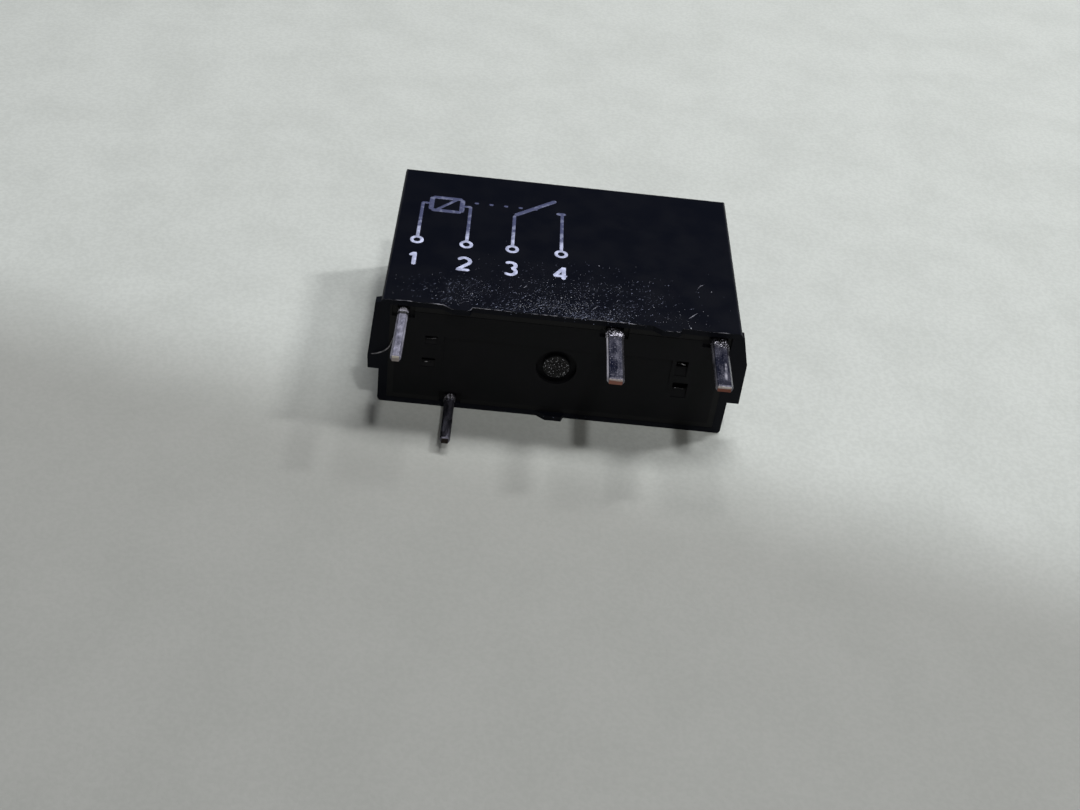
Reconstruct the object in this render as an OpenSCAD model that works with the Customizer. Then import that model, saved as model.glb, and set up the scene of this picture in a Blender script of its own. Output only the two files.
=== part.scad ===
// Slim sealed relay for a circuit board, with one normally open contact.
// X runs along its length, Y away from the board and Z out of its marked face.
// The origin is the centre of the terminal grid, in the plane of the board.

/* [Cover] */
// Outside length of the cover, without its end lugs
cover_length = 17.4; // [17.2:0.1:22]
// Outside thickness of the cover, from its marked face to the face it lies on
cover_thick = 6.3; // [6.2:0.1:8]
// Height of the cover's top above the board
cover_height = 12.4; // [11:0.1:16]
// Thickness of the two large walls
side_wall = 0.3; // [0.25:0.05:0.35]
// Thickness of the two end walls
end_wall = 0.45; // [0.3:0.05:0.55]
// Thickness of the top wall
top_wall = 0.4; // [0.3:0.05:0.8]
// Radius of the cover's outer edges
edge_radius = 0.2; // [0.1:0.05:0.25]
// Height of the feet that hold the cover off the board
foot_height = 0.3; // [0.2:0.05:0.5]
// Width of the feet on the marked face's side, where they meet the rim
foot_width = 1.4; // [1:0.1:2]
// Width of the single foot on the other side
middle_foot_width = 1.4; // [1:0.1:2]
// How far the feet slope in on the side of the coil terminals
foot_slope = 0.45; // [0.2:0.05:0.6]
// Distance between the middles of the two feet on the marked face's side
foot_spacing = 10.1; // [6:0.1:12]
// How far the lug at each end stands out
lug_reach = 0.6; // [0.3:0.01:0.8]
// Height of the lugs, measured from the rim
lug_height = 0.5; // [0.3:0.05:1]

/* [Base] */
// Thickness of the moulded base
base_thick = 1.6; // [1.3:0.1:2]
// Gap between the base and the walls of the cover
base_gap = 0.05; // [0.02:0.01:0.1]
// Width of the step round the base that the sealing resin fills
groove_width = 0.25; // [0.15:0.05:0.4]
// Depth of that step
groove_depth = 0.6; // [0.3:0.05:0.9]
// Gap between a terminal and its slot in the base
slot_gap = 0.03; // [0.01:0.01:0.06]
// Diameter of the vent well in the middle of the base
vent_diameter = 2; // [1.4:0.1:3]
// Diameter of the sealed pip in the vent well
pip_diameter = 1.35; // [0.8:0.05:1.6]
// Depth of the four blind pockets near the ends of the base
pocket_depth = 0.5; // [0.3:0.05:0.7]
// Depth at the inner end of the ramp in those pockets
ramp_depth = 0.2; // [0.1:0.02:0.25]
// Depth of the sunk panel along its deeper edge
panel_depth = 0.08; // [0.04:0.01:0.12]
// Thickness of the wall between the coil and the contacts
barrier_thick = 0.5; // [0.3:0.05:0.7]

/* [Terminals] */
// Pitch of the board's grid
grid = 2.54; // [2.5:0.01:2.54]
// Distance between the two rows of terminals
pin_row = 5.08; // [5:0.01:5.08]
// Length of the terminals below the board's surface, before they were trimmed
pin_length = 3.5; // [2.5:0.1:4.5]
// How much was trimmed off coil terminal a
trim_coil_a = 0.1; // [0:0.05:0.8]
// How much was trimmed off coil terminal b
trim_coil_b = 0.5; // [0:0.05:0.8]
// How much was trimmed off the moving contact's terminal
trim_moving = 0; // [0:0.05:0.8]
// How much was trimmed off the fixed contact's terminal
trim_fixed = 0.25; // [0:0.05:0.8]
// Width of the two coil terminals
coil_pin_width = 0.5; // [0.4:0.05:0.6]
// Width of the two contact terminals
contact_pin_width = 0.8; // [0.6:0.05:1]
// Thickness of the sheet that the terminals are cut from
sheet = 0.3; // [0.2:0.05:0.3]
// Bevel along the edges of the terminals
pin_bevel = 0.1; // [0.02:0.01:0.1]
// Clipped off the two corners at the tip of each terminal
tip_clip = 0.1; // [0.04:0.02:0.14]

/* [Coil] */
// Width of the flat core, along X
core_width = 4.2; // [3:0.1:4.6]
// Thickness of the flat core, along Z
core_thick = 1.5; // [1:0.1:2]
// How far the pole plate on the core overhangs it
head_over = 0.7; // [0.3:0.05:0.9]
// Thickness of the pole plate
head_thick = 0.5; // [0.3:0.05:0.8]
// Wall of the bobbin's tube
tube_wall = 0.35; // [0.25:0.05:0.6]
// Thickness of the bobbin's two flanges
flange_thick = 0.5; // [0.35:0.05:0.8]
// Gap between the bobbin's flanges and the large walls of the cover
coil_side_gap = 0.2; // [0.15:0.05:0.4]
// How far the winding stays inside the edge of the flanges
winding_margin = 0.25; // [0.1:0.05:0.5]
// How far the collar round the pole plate stays below its face
collar_clear = 0.2; // [0.15:0.05:0.3]
// Diameter of the winding wire
wire = 0.07; // [0.04:0.01:0.07]
// Turns of each wire end round its terminal
lead_turns = 4; // [2:1:5]

/* [Magnet frame] */
// Thickness of the yoke's foot under the coil
yoke_thick = 0.8; // [0.6:0.05:1]
// Thickness of the yoke's upright leg
leg_thick = 0.9; // [0.6:0.05:1.1]
// Gap between the yoke's leg and the bobbin
leg_gap = 0.2; // [0.1:0.05:0.4]
// Height of the two pads under the yoke
yoke_pad = 0.2; // [0.1:0.05:0.4]
// Outside radius of the yoke's bend
yoke_bend = 0.6; // [0.3:0.05:0.8]
// Clipped off each corner at the free end of the yoke's foot
yoke_clip = 0.5; // [0.2:0.05:0.8]

/* [Armature] */
// Thickness of the armature
armature_thick = 0.8; // [0.5:0.05:1]
// Width of the armature's plate over the pole
armature_width = 4.2; // [3:0.1:4.4]
// Width of the armature's bent arm
arm_width = 2.8; // [2:0.1:2.8]
// Distance from the hinge edge down to the middle of the card
arm_reach = 2.95; // [2:0.05:3.2]
// Angle that the armature turns through when it closes, in degrees
swing = 5.5; // [3:0.1:6]
// Gap left at the hinge edge and at the pole face
pivot_play = 0.03; // [0.02:0.01:0.05]
// Gap between the open armature and the top wall
top_clear = 0.23; // [0.1:0.01:0.4]
// Thickness of the hinge spring's strip
hinge_strip = 0.1; // [0.06:0.02:0.14]

/* [Contacts] */
// Thickness of the moving contact's leaf spring
leaf_thick = 0.12; // [0.08:0.01:0.2]
// Width of the leaf spring at its foot
leaf_width = 3; // [2:0.1:3.6]
// Width of the slot between the leaf spring's two legs
leg_slot = 0.7; // [0.4:0.05:1]
// Diameter of the fixed contact
fixed_contact_diameter = 1.6; // [1:0.1:2]
// Thickness of the fixed contact's head
fixed_contact_thick = 0.4; // [0.25:0.05:0.5]
// Diameter of the moving contact
moving_contact_diameter = 1.5; // [1:0.1:2]
// Thickness of the moving contact's head
moving_contact_thick = 0.5; // [0.3:0.05:0.6]
// Distance from the middle of the card up to the contacts
contact_rise = 1.35; // [1.3:0.05:1.6]
// Gap left between the contacts when the armature has closed
closed_gap = 0.02; // [0.01:0.01:0.05]
// Thickness of the card that pushes the leaf spring
card_thick = 0.7; // [0.4:0.05:0.8]
// Width of the card
card_width = 2.8; // [2:0.1:3]
// Gap between the card and the pieces that it pushes or slides in
card_gap = 0.05; // [0.04:0.01:0.08]
// Bevel that leads the armature's tongue in between the card's prongs
card_lead = 0.2; // [0.1:0.05:0.3]
// Radius of the upper corners of the two contact plates
plate_corner = 0.35; // [0.2:0.05:0.6]

/* [Hidden] */
$fn = 48;
// Gap between inner pieces that are fitted together
fit = 0.02;
// How far a cut runs past the face that it opens
past = 0.5;

// Corners of each lug's outline: share of its reach, and distance in from the marked face
left_lug = [[0.46, 0.3], [0.95, 3.5], [0.9, 4.3]];
right_lug = [[0.18, 0.22], [0.9, 1.86], [1, 4.3]];
// Blind pockets in the base: middle in X and Z, then width and height
pockets = [
    [-6.2, 0.95, 0.6, 0.5],
    [-6.28, -0.43, 0.65, 0.55],
    [6.1, 0.72, 0.58, 0.92],
    [6.2, -0.62, 0.75, 0.92]
];

// Inside of the cover
rim_y = foot_height;
ceiling_y = cover_height - top_wall;
inner_length = cover_length - 2 * end_wall;
inner_thick = cover_thick - 2 * side_wall;
base_top = rim_y + base_thick;

// Places of the four terminals in the grid
row_z = pin_row / 2;
coil_a_x = -3 * grid;
coil_b_x = -2 * grid;
moving_pin_x = grid;
fixed_pin_x = 3 * grid;

// Coil, from its terminals towards the contacts
flange_width = inner_thick - 2 * coil_side_gap;
winding_build = (flange_width - core_thick) / 2 - winding_margin;
flange_length = core_width + 2 * winding_build + 0.2;
post_gap = 0.07;
coil_x = coil_a_x + coil_pin_width / 2 + post_gap + flange_length / 2;
tube_build = fit + tube_wall;
leg_x = coil_x + flange_length / 2 + leg_gap;
pivot_x = leg_x + leg_thick;
yoke_width = pin_row - sheet - 0.38;
yoke_left = coil_x - core_width / 2 - 0.3;

// Heights of the magnet, from the base up
yoke_y = base_top + yoke_pad;
bobbin_y = yoke_y + yoke_thick;
armature_length = pivot_x - coil_x + core_width / 2 + head_over + 0.05;
yoke_top = ceiling_y - top_clear - armature_length * sin(swing)
    - (armature_thick + pivot_play) * cos(swing);
bobbin_top = yoke_top - head_thick;
wire_y = bobbin_y + flange_thick + 0.05;
turn_pitch = wire + 0.01;
turn_height = turn_pitch + 0.01;
solder_y = wire_y + (lead_turns - 1) * turn_pitch + turn_height;
post_top = solder_y + 0.37;

// Armature, drawn open, with its plate lifted by the swing
plate_end = -armature_length;
arm_end = arm_reach + card_thick / 2 + 0.1;
inner_corner = [pivot_play, pivot_play * (1 - sin(swing)) / cos(swing)];
plate_up = [sin(swing), cos(swing)];
shoulder = 0.2;
tongue_width = 1.6;

// Card and leaf spring, which follow the armature
card_y = yoke_top - arm_reach;
card_left = pivot_x + pivot_play + armature_thick + card_gap;
leaf_foot = base_top + 0.4;
leaf_swing = swing * arm_reach / (card_y - leaf_foot);
contact_y = card_y + contact_rise;
contact_gap = (contact_y - leaf_foot) * sin(leaf_swing) + closed_gap;
fixed_face = fixed_pin_x + contact_pin_width / 2 - sheet;
moving_tip = fixed_face - fixed_contact_thick - contact_gap;
leaf_right = moving_tip - moving_contact_thick;
leaf_left = leaf_right - leaf_thick;
nib = [0.35, 0.4, 0.8];
rivet_y = leaf_foot + 0.75;
rivet_z = 0.8;
rivet_shank = 0.5;
moving_plate_top = leaf_foot + 1.7;
fixed_shank = 0.9;
moving_shank = 0.8;
barrier_x = card_left + 0.8;
hinge_rivet_y = bobbin_y + 1.5;
hinge_rivet_z = 1.1;
hinge_rivet_shank = 0.6;

// Prism whose outline lies in X and Z, between two heights
module rise(y_low, y_high) {
    translate([0, y_high, 0])
        rotate([90, 0, 0])
            linear_extrude(y_high - y_low)
                children();
}

// Prism whose outline lies in X and Y, centred on z_mid
module slab(depth, z_mid = 0) {
    translate([0, 0, z_mid - depth / 2])
        linear_extrude(depth)
            children();
}

// Prism whose outline lies in Z and Y, between two places along X
module across(x_low, x_high) {
    translate([x_high, 0, 0])
        rotate([0, -90, 0])
            linear_extrude(x_high - x_low)
                children();
}

// Round bar along X
module bar_x(x_low, x_high, y, z, d) {
    across(x_low, x_high)
        translate([z, y])
            circle(d = d);
}

// Rectangle given by its two corners
module box_outline(low, high) {
    translate(low)
        square(high - low);
}

module rounded_outline(w, h, r) {
    square([w, h - 2 * r], center = true);
    square([w - 2 * r, h], center = true);
    for (sx = [-1, 1], sy = [-1, 1])
        translate([sx * (w / 2 - r), sy * (h / 2 - r)])
            circle(r = r);
}

// Square on its point, which clips a corner by the given length along both edges
module corner_clip(clip) {
    rotate(45)
        square(sqrt(2) * clip, center = true);
}

// Section of the core, grown by a build on all sides
module oblong(build) {
    half = (core_width - core_thick) / 2;
    square([2 * half, core_thick + 2 * build], center = true);
    for (side = [-1, 1])
        translate([side * half, 0])
            circle(d = core_thick + 2 * build);
}

// Wall section with its two top corners rounded
module topped_outline(w, y_low, y_high, r) {
    box_outline([-w / 2, y_low], [w / 2, y_high - r]);
    box_outline([-w / 2 + r, y_low], [w / 2 - r, y_high]);
    for (side = [-1, 1])
        translate([side * (w / 2 - r), y_high - r])
            circle(r = r);
}

module foot(x_mid, side, width) {
    left = x_mid - width / 2;
    right = x_mid + width / 2;
    top = rim_y + side_wall;
    slab(side_wall, side * (cover_thick - side_wall) / 2)
        polygon([
            [left + foot_slope, 0],
            [right - 0.12, 0],
            [right, rim_y],
            [right, top],
            [left, top],
            [left, rim_y]
        ]);
}

// Tapered lug on an end wall, a hair behind the rim
module lug(end, corners) {
    face = cover_thick / 2;
    wall = cover_length / 2;
    rise(rim_y + 0.04, rim_y + lug_height)
        polygon(concat(
            [[end * (wall - end_wall / 2), face - edge_radius]],
            [[end * (wall - edge_radius / 2), face - 0.2]],
            [for (corner = corners) [end * (wall + corner[0] * lug_reach), face - corner[1]]],
            [[end * (wall - end_wall / 2), face - corners[2][1]]]
        ));
}

module cover() {
    color("#23252d")
        difference() {
            union() {
                intersection() {
                    rise(rim_y, cover_height)
                        rounded_outline(cover_length, cover_thick, edge_radius);
                    slab(cover_thick)
                        topped_outline(cover_length, rim_y, cover_height, edge_radius);
                    across(-cover_length / 2, cover_length / 2)
                        topped_outline(cover_thick, rim_y, cover_height, edge_radius);
                }
                for (side = [-1, 1])
                    foot(side * foot_spacing / 2, 1, foot_width);
                foot(0, -1, middle_foot_width);
                lug(-1, left_lug);
                lug(1, right_lug);
            }
            rise(-past, ceiling_y)
                square([inner_length, inner_thick], center = true);
        }
}

// Outline of a terminal with bevelled edges
function bevelled(w) = [
    [-w / 2 + pin_bevel, -sheet / 2],
    [w / 2 - pin_bevel, -sheet / 2],
    [w / 2, -sheet / 2 + pin_bevel],
    [w / 2, sheet / 2 - pin_bevel],
    [w / 2 - pin_bevel, sheet / 2],
    [-w / 2 + pin_bevel, sheet / 2],
    [-w / 2, sheet / 2 - pin_bevel],
    [-w / 2, -sheet / 2 + pin_bevel]
];

// The part of a terminal that runs through the board and the base, into its upper end
module pin(x, side, width, trim) {
    tip = trim - pin_length;
    difference() {
        rise(tip, base_top + sheet)
            translate([x, side * row_z])
                polygon(bevelled(width));
        for (edge = [-1, 1])
            slab(sheet + past, side * row_z)
                translate([x + edge * width / 2, tip])
                    corner_clip(tip_clip);
    }
}

// Slots, and the shallow pockets round the roots, for all four terminals
module terminal_openings() {
    root_depth = 0.15;
    places = [
        [coil_a_x, 1, coil_pin_width],
        [coil_b_x, -1, coil_pin_width],
        [moving_pin_x, 1, contact_pin_width],
        [fixed_pin_x, 1, contact_pin_width]
    ];
    for (place = places) {
        // Pockets stay inside the walls of the cover
        pocket = [place[2] + 0.6, 0.66];
        x = min(place[0], inner_length / 2 - pocket.x / 2);
        z = place[1] * (inner_thick / 2 - pocket.y / 2);
        rise(rim_y - past, rim_y + root_depth)
            translate([max(x, -inner_length / 2 + pocket.x / 2), z])
                square(pocket, center = true);
        rise(rim_y - past, base_top + past)
            translate([place[0], place[1] * row_z])
                square([place[2] + 2 * slot_gap, sheet + 2 * slot_gap], center = true);
    }
}

module vent() {
    depth = 0.35;
    rise(rim_y - past, rim_y + depth)
        difference() {
            circle(d = vent_diameter);
            circle(d = pip_diameter);
        }
    rise(rim_y - past, rim_y + 0.1)
        circle(d = vent_diameter);
}

// Each pocket is deep on the marked face's side, and a ramp leads out of it on the other
module blind_pockets() {
    for (pocket = pockets) {
        low = pocket[1] - pocket[3] / 2;
        high = pocket[1] + pocket[3] / 2;
        step = low + 0.5 * pocket[3];
        across(pocket[0] - pocket[2] / 2, pocket[0] + pocket[2] / 2)
            polygon([
                [high, rim_y - past],
                [high, rim_y + pocket_depth],
                [step, rim_y + pocket_depth],
                [step, rim_y + ramp_depth],
                [low, rim_y + 0.04],
                [low, rim_y - past]
            ]);
    }
}

module barrier() {
    notch = card_width / 2 + 2 * card_gap;
    card_low = card_y - card_thick / 2 - card_gap;
    half = inner_thick / 2 - 2 * base_gap;
    across(barrier_x, barrier_x + barrier_thick)
        difference() {
            box_outline([-half, base_top - 0.2], [half, contact_y + 0.4]);
            box_outline([-notch, card_low], [notch, contact_y + past]);
            box_outline([row_z - sheet / 2 - base_gap, 0], [half + past, leaf_foot + 1]);
        }
}

// Tapered rib that backs the foot of a contact plate, whose face is at the given place
module buttress(face, top) {
    width = 1.8;
    foot = 0.65;
    crest = 0.25;
    slab(width)
        polygon([
            [face - foot, base_top - 0.2],
            [face, base_top - 0.2],
            [face, top],
            [face - crest, top]
        ]);
}

module base() {
    plug = [inner_length - 2 * base_gap, inner_thick - 2 * base_gap];
    kerb_top = yoke_y + 0.6;
    kerb = 0.3;
    color("#1d1e22")
        difference() {
            union() {
                rise(rim_y, base_top)
                    square(plug - [2, 2] * groove_width, center = true);
                rise(rim_y + groove_depth, base_top)
                    square(plug, center = true);
                // Pads and kerbs that hold the foot of the yoke
                slab(yoke_width - 0.6) {
                    box_outline([yoke_left + 0.2, base_top - 0.2], [yoke_left + 0.9, yoke_y]);
                    box_outline([leg_x, base_top - 0.2], [pivot_x, yoke_y]);
                    box_outline(
                        [yoke_left - kerb - base_gap, base_top - 0.2],
                        [yoke_left - base_gap, kerb_top]
                    );
                    box_outline(
                        [pivot_x + base_gap, base_top - 0.2],
                        [pivot_x + base_gap + kerb, kerb_top]
                    );
                }
                barrier();
                buttress(leaf_left - sheet - base_gap, moving_plate_top - 0.7);
                buttress(fixed_face - base_gap, leaf_foot + 0.5);
            }
            terminal_openings();
            vent();
            blind_pockets();
            // Sunk panel across the middle, which runs out towards the face it lies on
            across(-5.6, 5.6)
                polygon([
                    [1.22, rim_y - past],
                    [1.22, rim_y + panel_depth],
                    [-1.22, rim_y - 0.005],
                    [-1.22, rim_y - past]
                ]);
        }
}

module sealing_resin() {
    plug = [inner_length - 2 * base_gap, inner_thick - 2 * base_gap];
    color("#3a3a3c")
        difference() {
            rise(rim_y + 0.02, rim_y + groove_depth)
                difference() {
                    square([inner_length, inner_thick], center = true);
                    square(plug - [2, 2] * groove_width, center = true);
                }
            terminal_openings();
        }
}

module bobbin() {
    color("#e8e4d8")
        difference() {
            translate([coil_x, 0, 0]) {
                rise(bobbin_y, bobbin_y + flange_thick)
                    rounded_outline(flange_length, flange_width, 0.3);
                rise(bobbin_top - flange_thick, yoke_top - collar_clear)
                    rounded_outline(flange_length, flange_width, 0.3);
                rise(bobbin_y, bobbin_top)
                    oblong(tube_build);
            }
            // Recess in the upper flange that the pole plate lies in
            translate([coil_x, 0, 0])
                rise(bobbin_top, yoke_top + past)
                    oblong(head_over + card_gap);
            translate([coil_x, 0, 0])
                rise(bobbin_y - past, bobbin_top + past)
                    oblong(fit);
            // Notches that lead the wire ends out of the lower flange
            for (side = [-1, 1])
                rise(bobbin_y - past, bobbin_y + flange_thick + past)
                    translate([coil_x - flange_length / 2, side * 1.6])
                        square([0.5, 0.3], center = true);
        }
}

module winding() {
    color("#a8552c")
        translate([coil_x, 0, 0])
            rise(bobbin_y + flange_thick + fit, bobbin_top - flange_thick - fit)
                difference() {
                    oblong(winding_build);
                    oblong(tube_build + fit);
                }
}

module core() {
    color("#b9bcc0")
        translate([coil_x, 0, 0]) {
            // Tail staked in the yoke, shank and pole plate
            rise(yoke_y, yoke_top)
                oblong(-0.3);
            rise(bobbin_y, yoke_top)
                oblong(0);
            rise(bobbin_top, yoke_top)
                oblong(head_over);
        }
}

module yoke() {
    color("#a9acb1")
        difference() {
            slab(yoke_width)
                difference() {
                    union() {
                        box_outline([yoke_left, yoke_y], [pivot_x, bobbin_y]);
                        box_outline([leg_x, yoke_y], [pivot_x, yoke_top]);
                    }
                    // Rounded outside of the bend
                    difference() {
                        box_outline(
                            [pivot_x - yoke_bend, yoke_y - past],
                            [pivot_x + past, yoke_y + yoke_bend]
                        );
                        translate([pivot_x - yoke_bend, yoke_y + yoke_bend])
                            circle(r = yoke_bend);
                    }
                }
            for (side = [-1, 1])
                rise(yoke_y - past, bobbin_y + past)
                    translate([yoke_left, side * yoke_width / 2])
                        corner_clip(yoke_clip);
            translate([coil_x, 0, 0])
                rise(yoke_y - past, bobbin_y + past)
                    oblong(-0.3 + fit);
            for (side = [-1, 1])
                bar_x(leg_x - past, pivot_x + past, hinge_rivet_y, side * hinge_rivet_z,
                    hinge_rivet_shank + 2 * fit);
        }
}

// Point of the armature's plate: along it from the hinge, and up from its underside
function plate_point(along, up) =
    [along * cos(swing), -along * sin(swing)] + (pivot_play + up) * plate_up;

// Outline of the plate over the pole, with clipped corners at its free end
module plate_outline() {
    half = armature_width / 2;
    free_end = plate_point(plate_end, 0).x;
    clip = 0.7;
    polygon([
        [free_end, half - clip],
        [free_end, clip - half],
        [free_end + clip, -half],
        [0, -half],
        [0, half],
        [free_end + clip, half]
    ]);
}

module armature() {
    step = (90 - swing) / 6;
    bend = [for (i = [0:6]) inner_corner + armature_thick * [cos(i * step), sin(i * step)]];
    color("#b3b6ba")
        translate([pivot_x, yoke_top, 0]) {
            slab(arm_width)
                polygon(concat(
                    [plate_point(plate_end, armature_thick), plate_point(plate_end, 0)],
                    [inner_corner, [inner_corner.x, -arm_reach + card_thick]],
                    [[inner_corner.x + armature_thick, -arm_reach + card_thick]],
                    bend
                ));
            intersection() {
                slab(armature_width)
                    polygon([
                        plate_point(plate_end, 0),
                        plate_point(-shoulder, 0),
                        plate_point(-shoulder, armature_thick),
                        plate_point(plate_end, armature_thick)
                    ]);
                rise(-past, armature_length)
                    plate_outline();
            }
            // Tongue that enters the card
            slab(tongue_width)
                box_outline(
                    [inner_corner.x, -arm_end],
                    [inner_corner.x + armature_thick, -arm_reach + card_thick + 0.1]
                );
        }
}

module hinge_spring() {
    plate_low = hinge_rivet_y - 0.8;
    plate_high = hinge_rivet_y + 0.9;
    tine = 0.5;
    tine_z = (armature_width - tine) / 2;
    hook = 1;
    lift = armature_thick + hinge_strip / 2 + 0.02;
    color("#c9a36a")
        difference() {
            union() {
                slab(armature_width)
                    box_outline([pivot_x, plate_low], [pivot_x + hinge_strip, plate_high]);
                for (side = [-1, 1])
                    slab(tine, side * tine_z) {
                        box_outline(
                            [pivot_x, plate_high - 0.1],
                            [pivot_x + hinge_strip, yoke_top + lift + hinge_strip]
                        );
                        translate([pivot_x, yoke_top])
                            polygon([
                                plate_point(-hook, lift),
                                plate_point(0, lift),
                                [hinge_strip, lift + hinge_strip],
                                [hinge_strip, lift + 2 * hinge_strip],
                                plate_point(-hook, lift + hinge_strip)
                            ]);
                    }
            }
            for (side = [-1, 1])
                bar_x(pivot_x - past, pivot_x + past, hinge_rivet_y, side * hinge_rivet_z,
                    hinge_rivet_shank + 2 * fit);
        }
}

module hinge_spring_rivets() {
    color("#9c9fa5")
        for (side = [-1, 1]) {
            bar_x(leg_x, pivot_x + hinge_strip + 0.2, hinge_rivet_y, side * hinge_rivet_z,
                hinge_rivet_shank);
            bar_x(pivot_x + hinge_strip, pivot_x + hinge_strip + 0.2, hinge_rivet_y,
                side * hinge_rivet_z, hinge_rivet_shank + 0.4);
        }
}

module card() {
    prong_left = card_left - card_gap - 0.55;
    slot_half = tongue_width / 2 + 2 * card_gap;
    right = leaf_left - card_gap;
    color("#efe9d6") {
        rise(card_y - card_thick / 2, card_y + card_thick / 2)
            difference() {
                box_outline([prong_left, -card_width / 2], [right, card_width / 2]);
                box_outline([prong_left - past, -slot_half], [card_left, slot_half]);
                for (side = [-1, 1])
                    translate([prong_left, side * slot_half])
                        corner_clip(card_lead);
            }
        rise(card_y - nib.y / 2, card_y + nib.y / 2)
            box_outline([right - 0.1, -nib.z / 2], [leaf_right + nib.x, nib.z / 2]);
    }
}

module moving_spring() {
    half = leaf_width / 2;
    neck = moving_contact_diameter / 2 + 0.3;
    slot_low = rivet_y + 0.8;
    slot_high = card_y - nib.y / 2 - 1;
    color("#c98f56")
        across(leaf_left, leaf_right)
            difference() {
                union() {
                    polygon([
                        [-half, leaf_foot],
                        [half, leaf_foot],
                        [half, card_y - card_thick],
                        [neck, card_y],
                        [neck, contact_y],
                        [-neck, contact_y],
                        [-neck, card_y],
                        [-half, card_y - card_thick]
                    ]);
                    translate([0, contact_y])
                        circle(r = neck);
                }
                // Slot that leaves the leaf two legs to bend on
                box_outline([-leg_slot / 2, slot_low], [leg_slot / 2, slot_high]);
                for (y = [slot_low, slot_high])
                    translate([0, y])
                        circle(d = leg_slot);
                // Window for the card's nib
                box_outline(
                    [-nib.z / 2 - 2 * card_gap, card_y - nib.y / 2 - 2 * card_gap],
                    [nib.z / 2 + 2 * card_gap, card_y + nib.y / 2 + 2 * card_gap]
                );
                translate([0, contact_y])
                    circle(d = moving_shank + 2 * fit);
                for (side = [-1, 1])
                    translate([side * rivet_z, rivet_y])
                        circle(d = rivet_shank + 2 * fit);
            }
}

// Riveted contact with a domed face, turned in one piece
module moving_contact() {
    dome = 2.4;
    tail = 0.12;
    tail_edge = moving_shank / 2 + 0.15;
    edge = moving_contact_diameter / 2;
    steps = 5;
    face = [
        for (i = [0:steps])
            let (r = edge * (1 - i / steps))
                [r, moving_contact_thick - dome + sqrt(dome * dome - r * r)]
    ];
    color("#d9dadc")
        translate([leaf_right, contact_y, 0])
            rotate([0, 90, 0])
                rotate_extrude()
                    polygon(concat(
                        [[0, -leaf_thick - tail], [tail_edge, -leaf_thick - tail]],
                        [[tail_edge, -leaf_thick], [moving_shank / 2, -leaf_thick]],
                        [[moving_shank / 2, 0], [edge, 0]],
                        face
                    ));
}

module moving_spring_rivets() {
    color("#c4a25e")
        for (side = [-1, 1]) {
            bar_x(leaf_left - sheet * 0.8, leaf_right + 0.2, rivet_y, side * rivet_z,
                rivet_shank);
            bar_x(leaf_right, leaf_right + 0.2, rivet_y, side * rivet_z, rivet_shank + 0.35);
        }
}

// Sheet folded at its right-hand end, from the row of terminals in towards z_end
module folded_outline(x_low, x_high, z_end) {
    outer = row_z + sheet / 2;
    bend = 2 * sheet;
    difference() {
        union() {
            box_outline([x_low, outer - sheet], [x_high, outer]);
            box_outline([x_high - sheet, z_end], [x_high, outer]);
            box_outline([x_high - bend, outer - bend], [x_high, outer]);
        }
        // Rounded outside of the fold
        difference() {
            box_outline([x_high - bend, outer - bend], [x_high + past, outer + past]);
            translate([x_high - bend, outer - bend])
                circle(r = bend);
            box_outline([x_high - bend - past, outer - bend - past], [x_high - bend, outer]);
        }
        // Rounded inside of the fold
        translate([x_high - bend, outer - bend])
            circle(r = bend - sheet);
    }
}

module moving_terminal() {
    color("#c3c2c8") {
        pin(moving_pin_x, 1, contact_pin_width, trim_moving);
        difference() {
            union() {
                rise(base_top, leaf_foot + 0.6)
                    folded_outline(
                        moving_pin_x - contact_pin_width / 2, leaf_left, -leaf_width / 2
                    );
                across(leaf_left - sheet, leaf_left)
                    topped_outline(leaf_width, base_top, moving_plate_top, plate_corner);
            }
            for (side = [-1, 1])
                bar_x(leaf_left - sheet - past, leaf_left + past, rivet_y, side * rivet_z,
                    rivet_shank + 4 * card_gap);
        }
    }
}

module fixed_terminal() {
    top = contact_y + fixed_contact_diameter / 2 + 0.2;
    left = fixed_pin_x - contact_pin_width / 2;
    right = fixed_pin_x + contact_pin_width / 2;
    plate_width = fixed_contact_diameter + 0.8;
    color("#c3c2c8") {
        pin(fixed_pin_x, 1, contact_pin_width, trim_fixed);
        rise(base_top, leaf_foot + 1)
            folded_outline(left, right, -plate_width / 2);
        difference() {
            across(right - sheet, right)
                topped_outline(plate_width, leaf_foot, top, plate_corner);
            bar_x(right - sheet - past, right + past, contact_y, 0, fixed_shank + 2 * fit);
        }
    }
}

// Riveted contact with a flat face, turned in one piece
module fixed_contact() {
    bevel = 0.12;
    tail = 0.1;
    tail_edge = fixed_shank / 2 + 0.15;
    edge = fixed_contact_diameter / 2;
    color("#d9dadc")
        translate([fixed_face, contact_y, 0])
            rotate([0, 90, 0])
                rotate_extrude()
                    polygon([
                        [0, -fixed_contact_thick],
                        [edge - 2 * bevel, -fixed_contact_thick],
                        [edge, bevel - fixed_contact_thick],
                        [edge, 0],
                        [fixed_shank / 2, 0],
                        [fixed_shank / 2, sheet],
                        [tail_edge, sheet],
                        [tail_edge, sheet + tail],
                        [0, sheet + tail]
                    ]);
}

// Post above the base that a wire end is wound on, with its two upper corners clipped
module coil_post(side) {
    clip = 0.12;
    slab(sheet, side * row_z)
        difference() {
            box_outline(
                [coil_a_x - coil_pin_width / 2, base_top],
                [coil_a_x + coil_pin_width / 2, post_top]
            );
            for (edge = [-1, 1])
                translate([coil_a_x + edge * coil_pin_width / 2, post_top])
                    corner_clip(clip);
        }
}

module coil_terminal_a() {
    color("#c3c2c8") {
        pin(coil_a_x, 1, coil_pin_width, trim_coil_a);
        coil_post(1);
        // Shoulder that rests on the base
        slab(sheet, row_z)
            box_outline([coil_a_x - 0.45, base_top], [coil_a_x + 0.45, base_top + 0.4]);
    }
}

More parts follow.
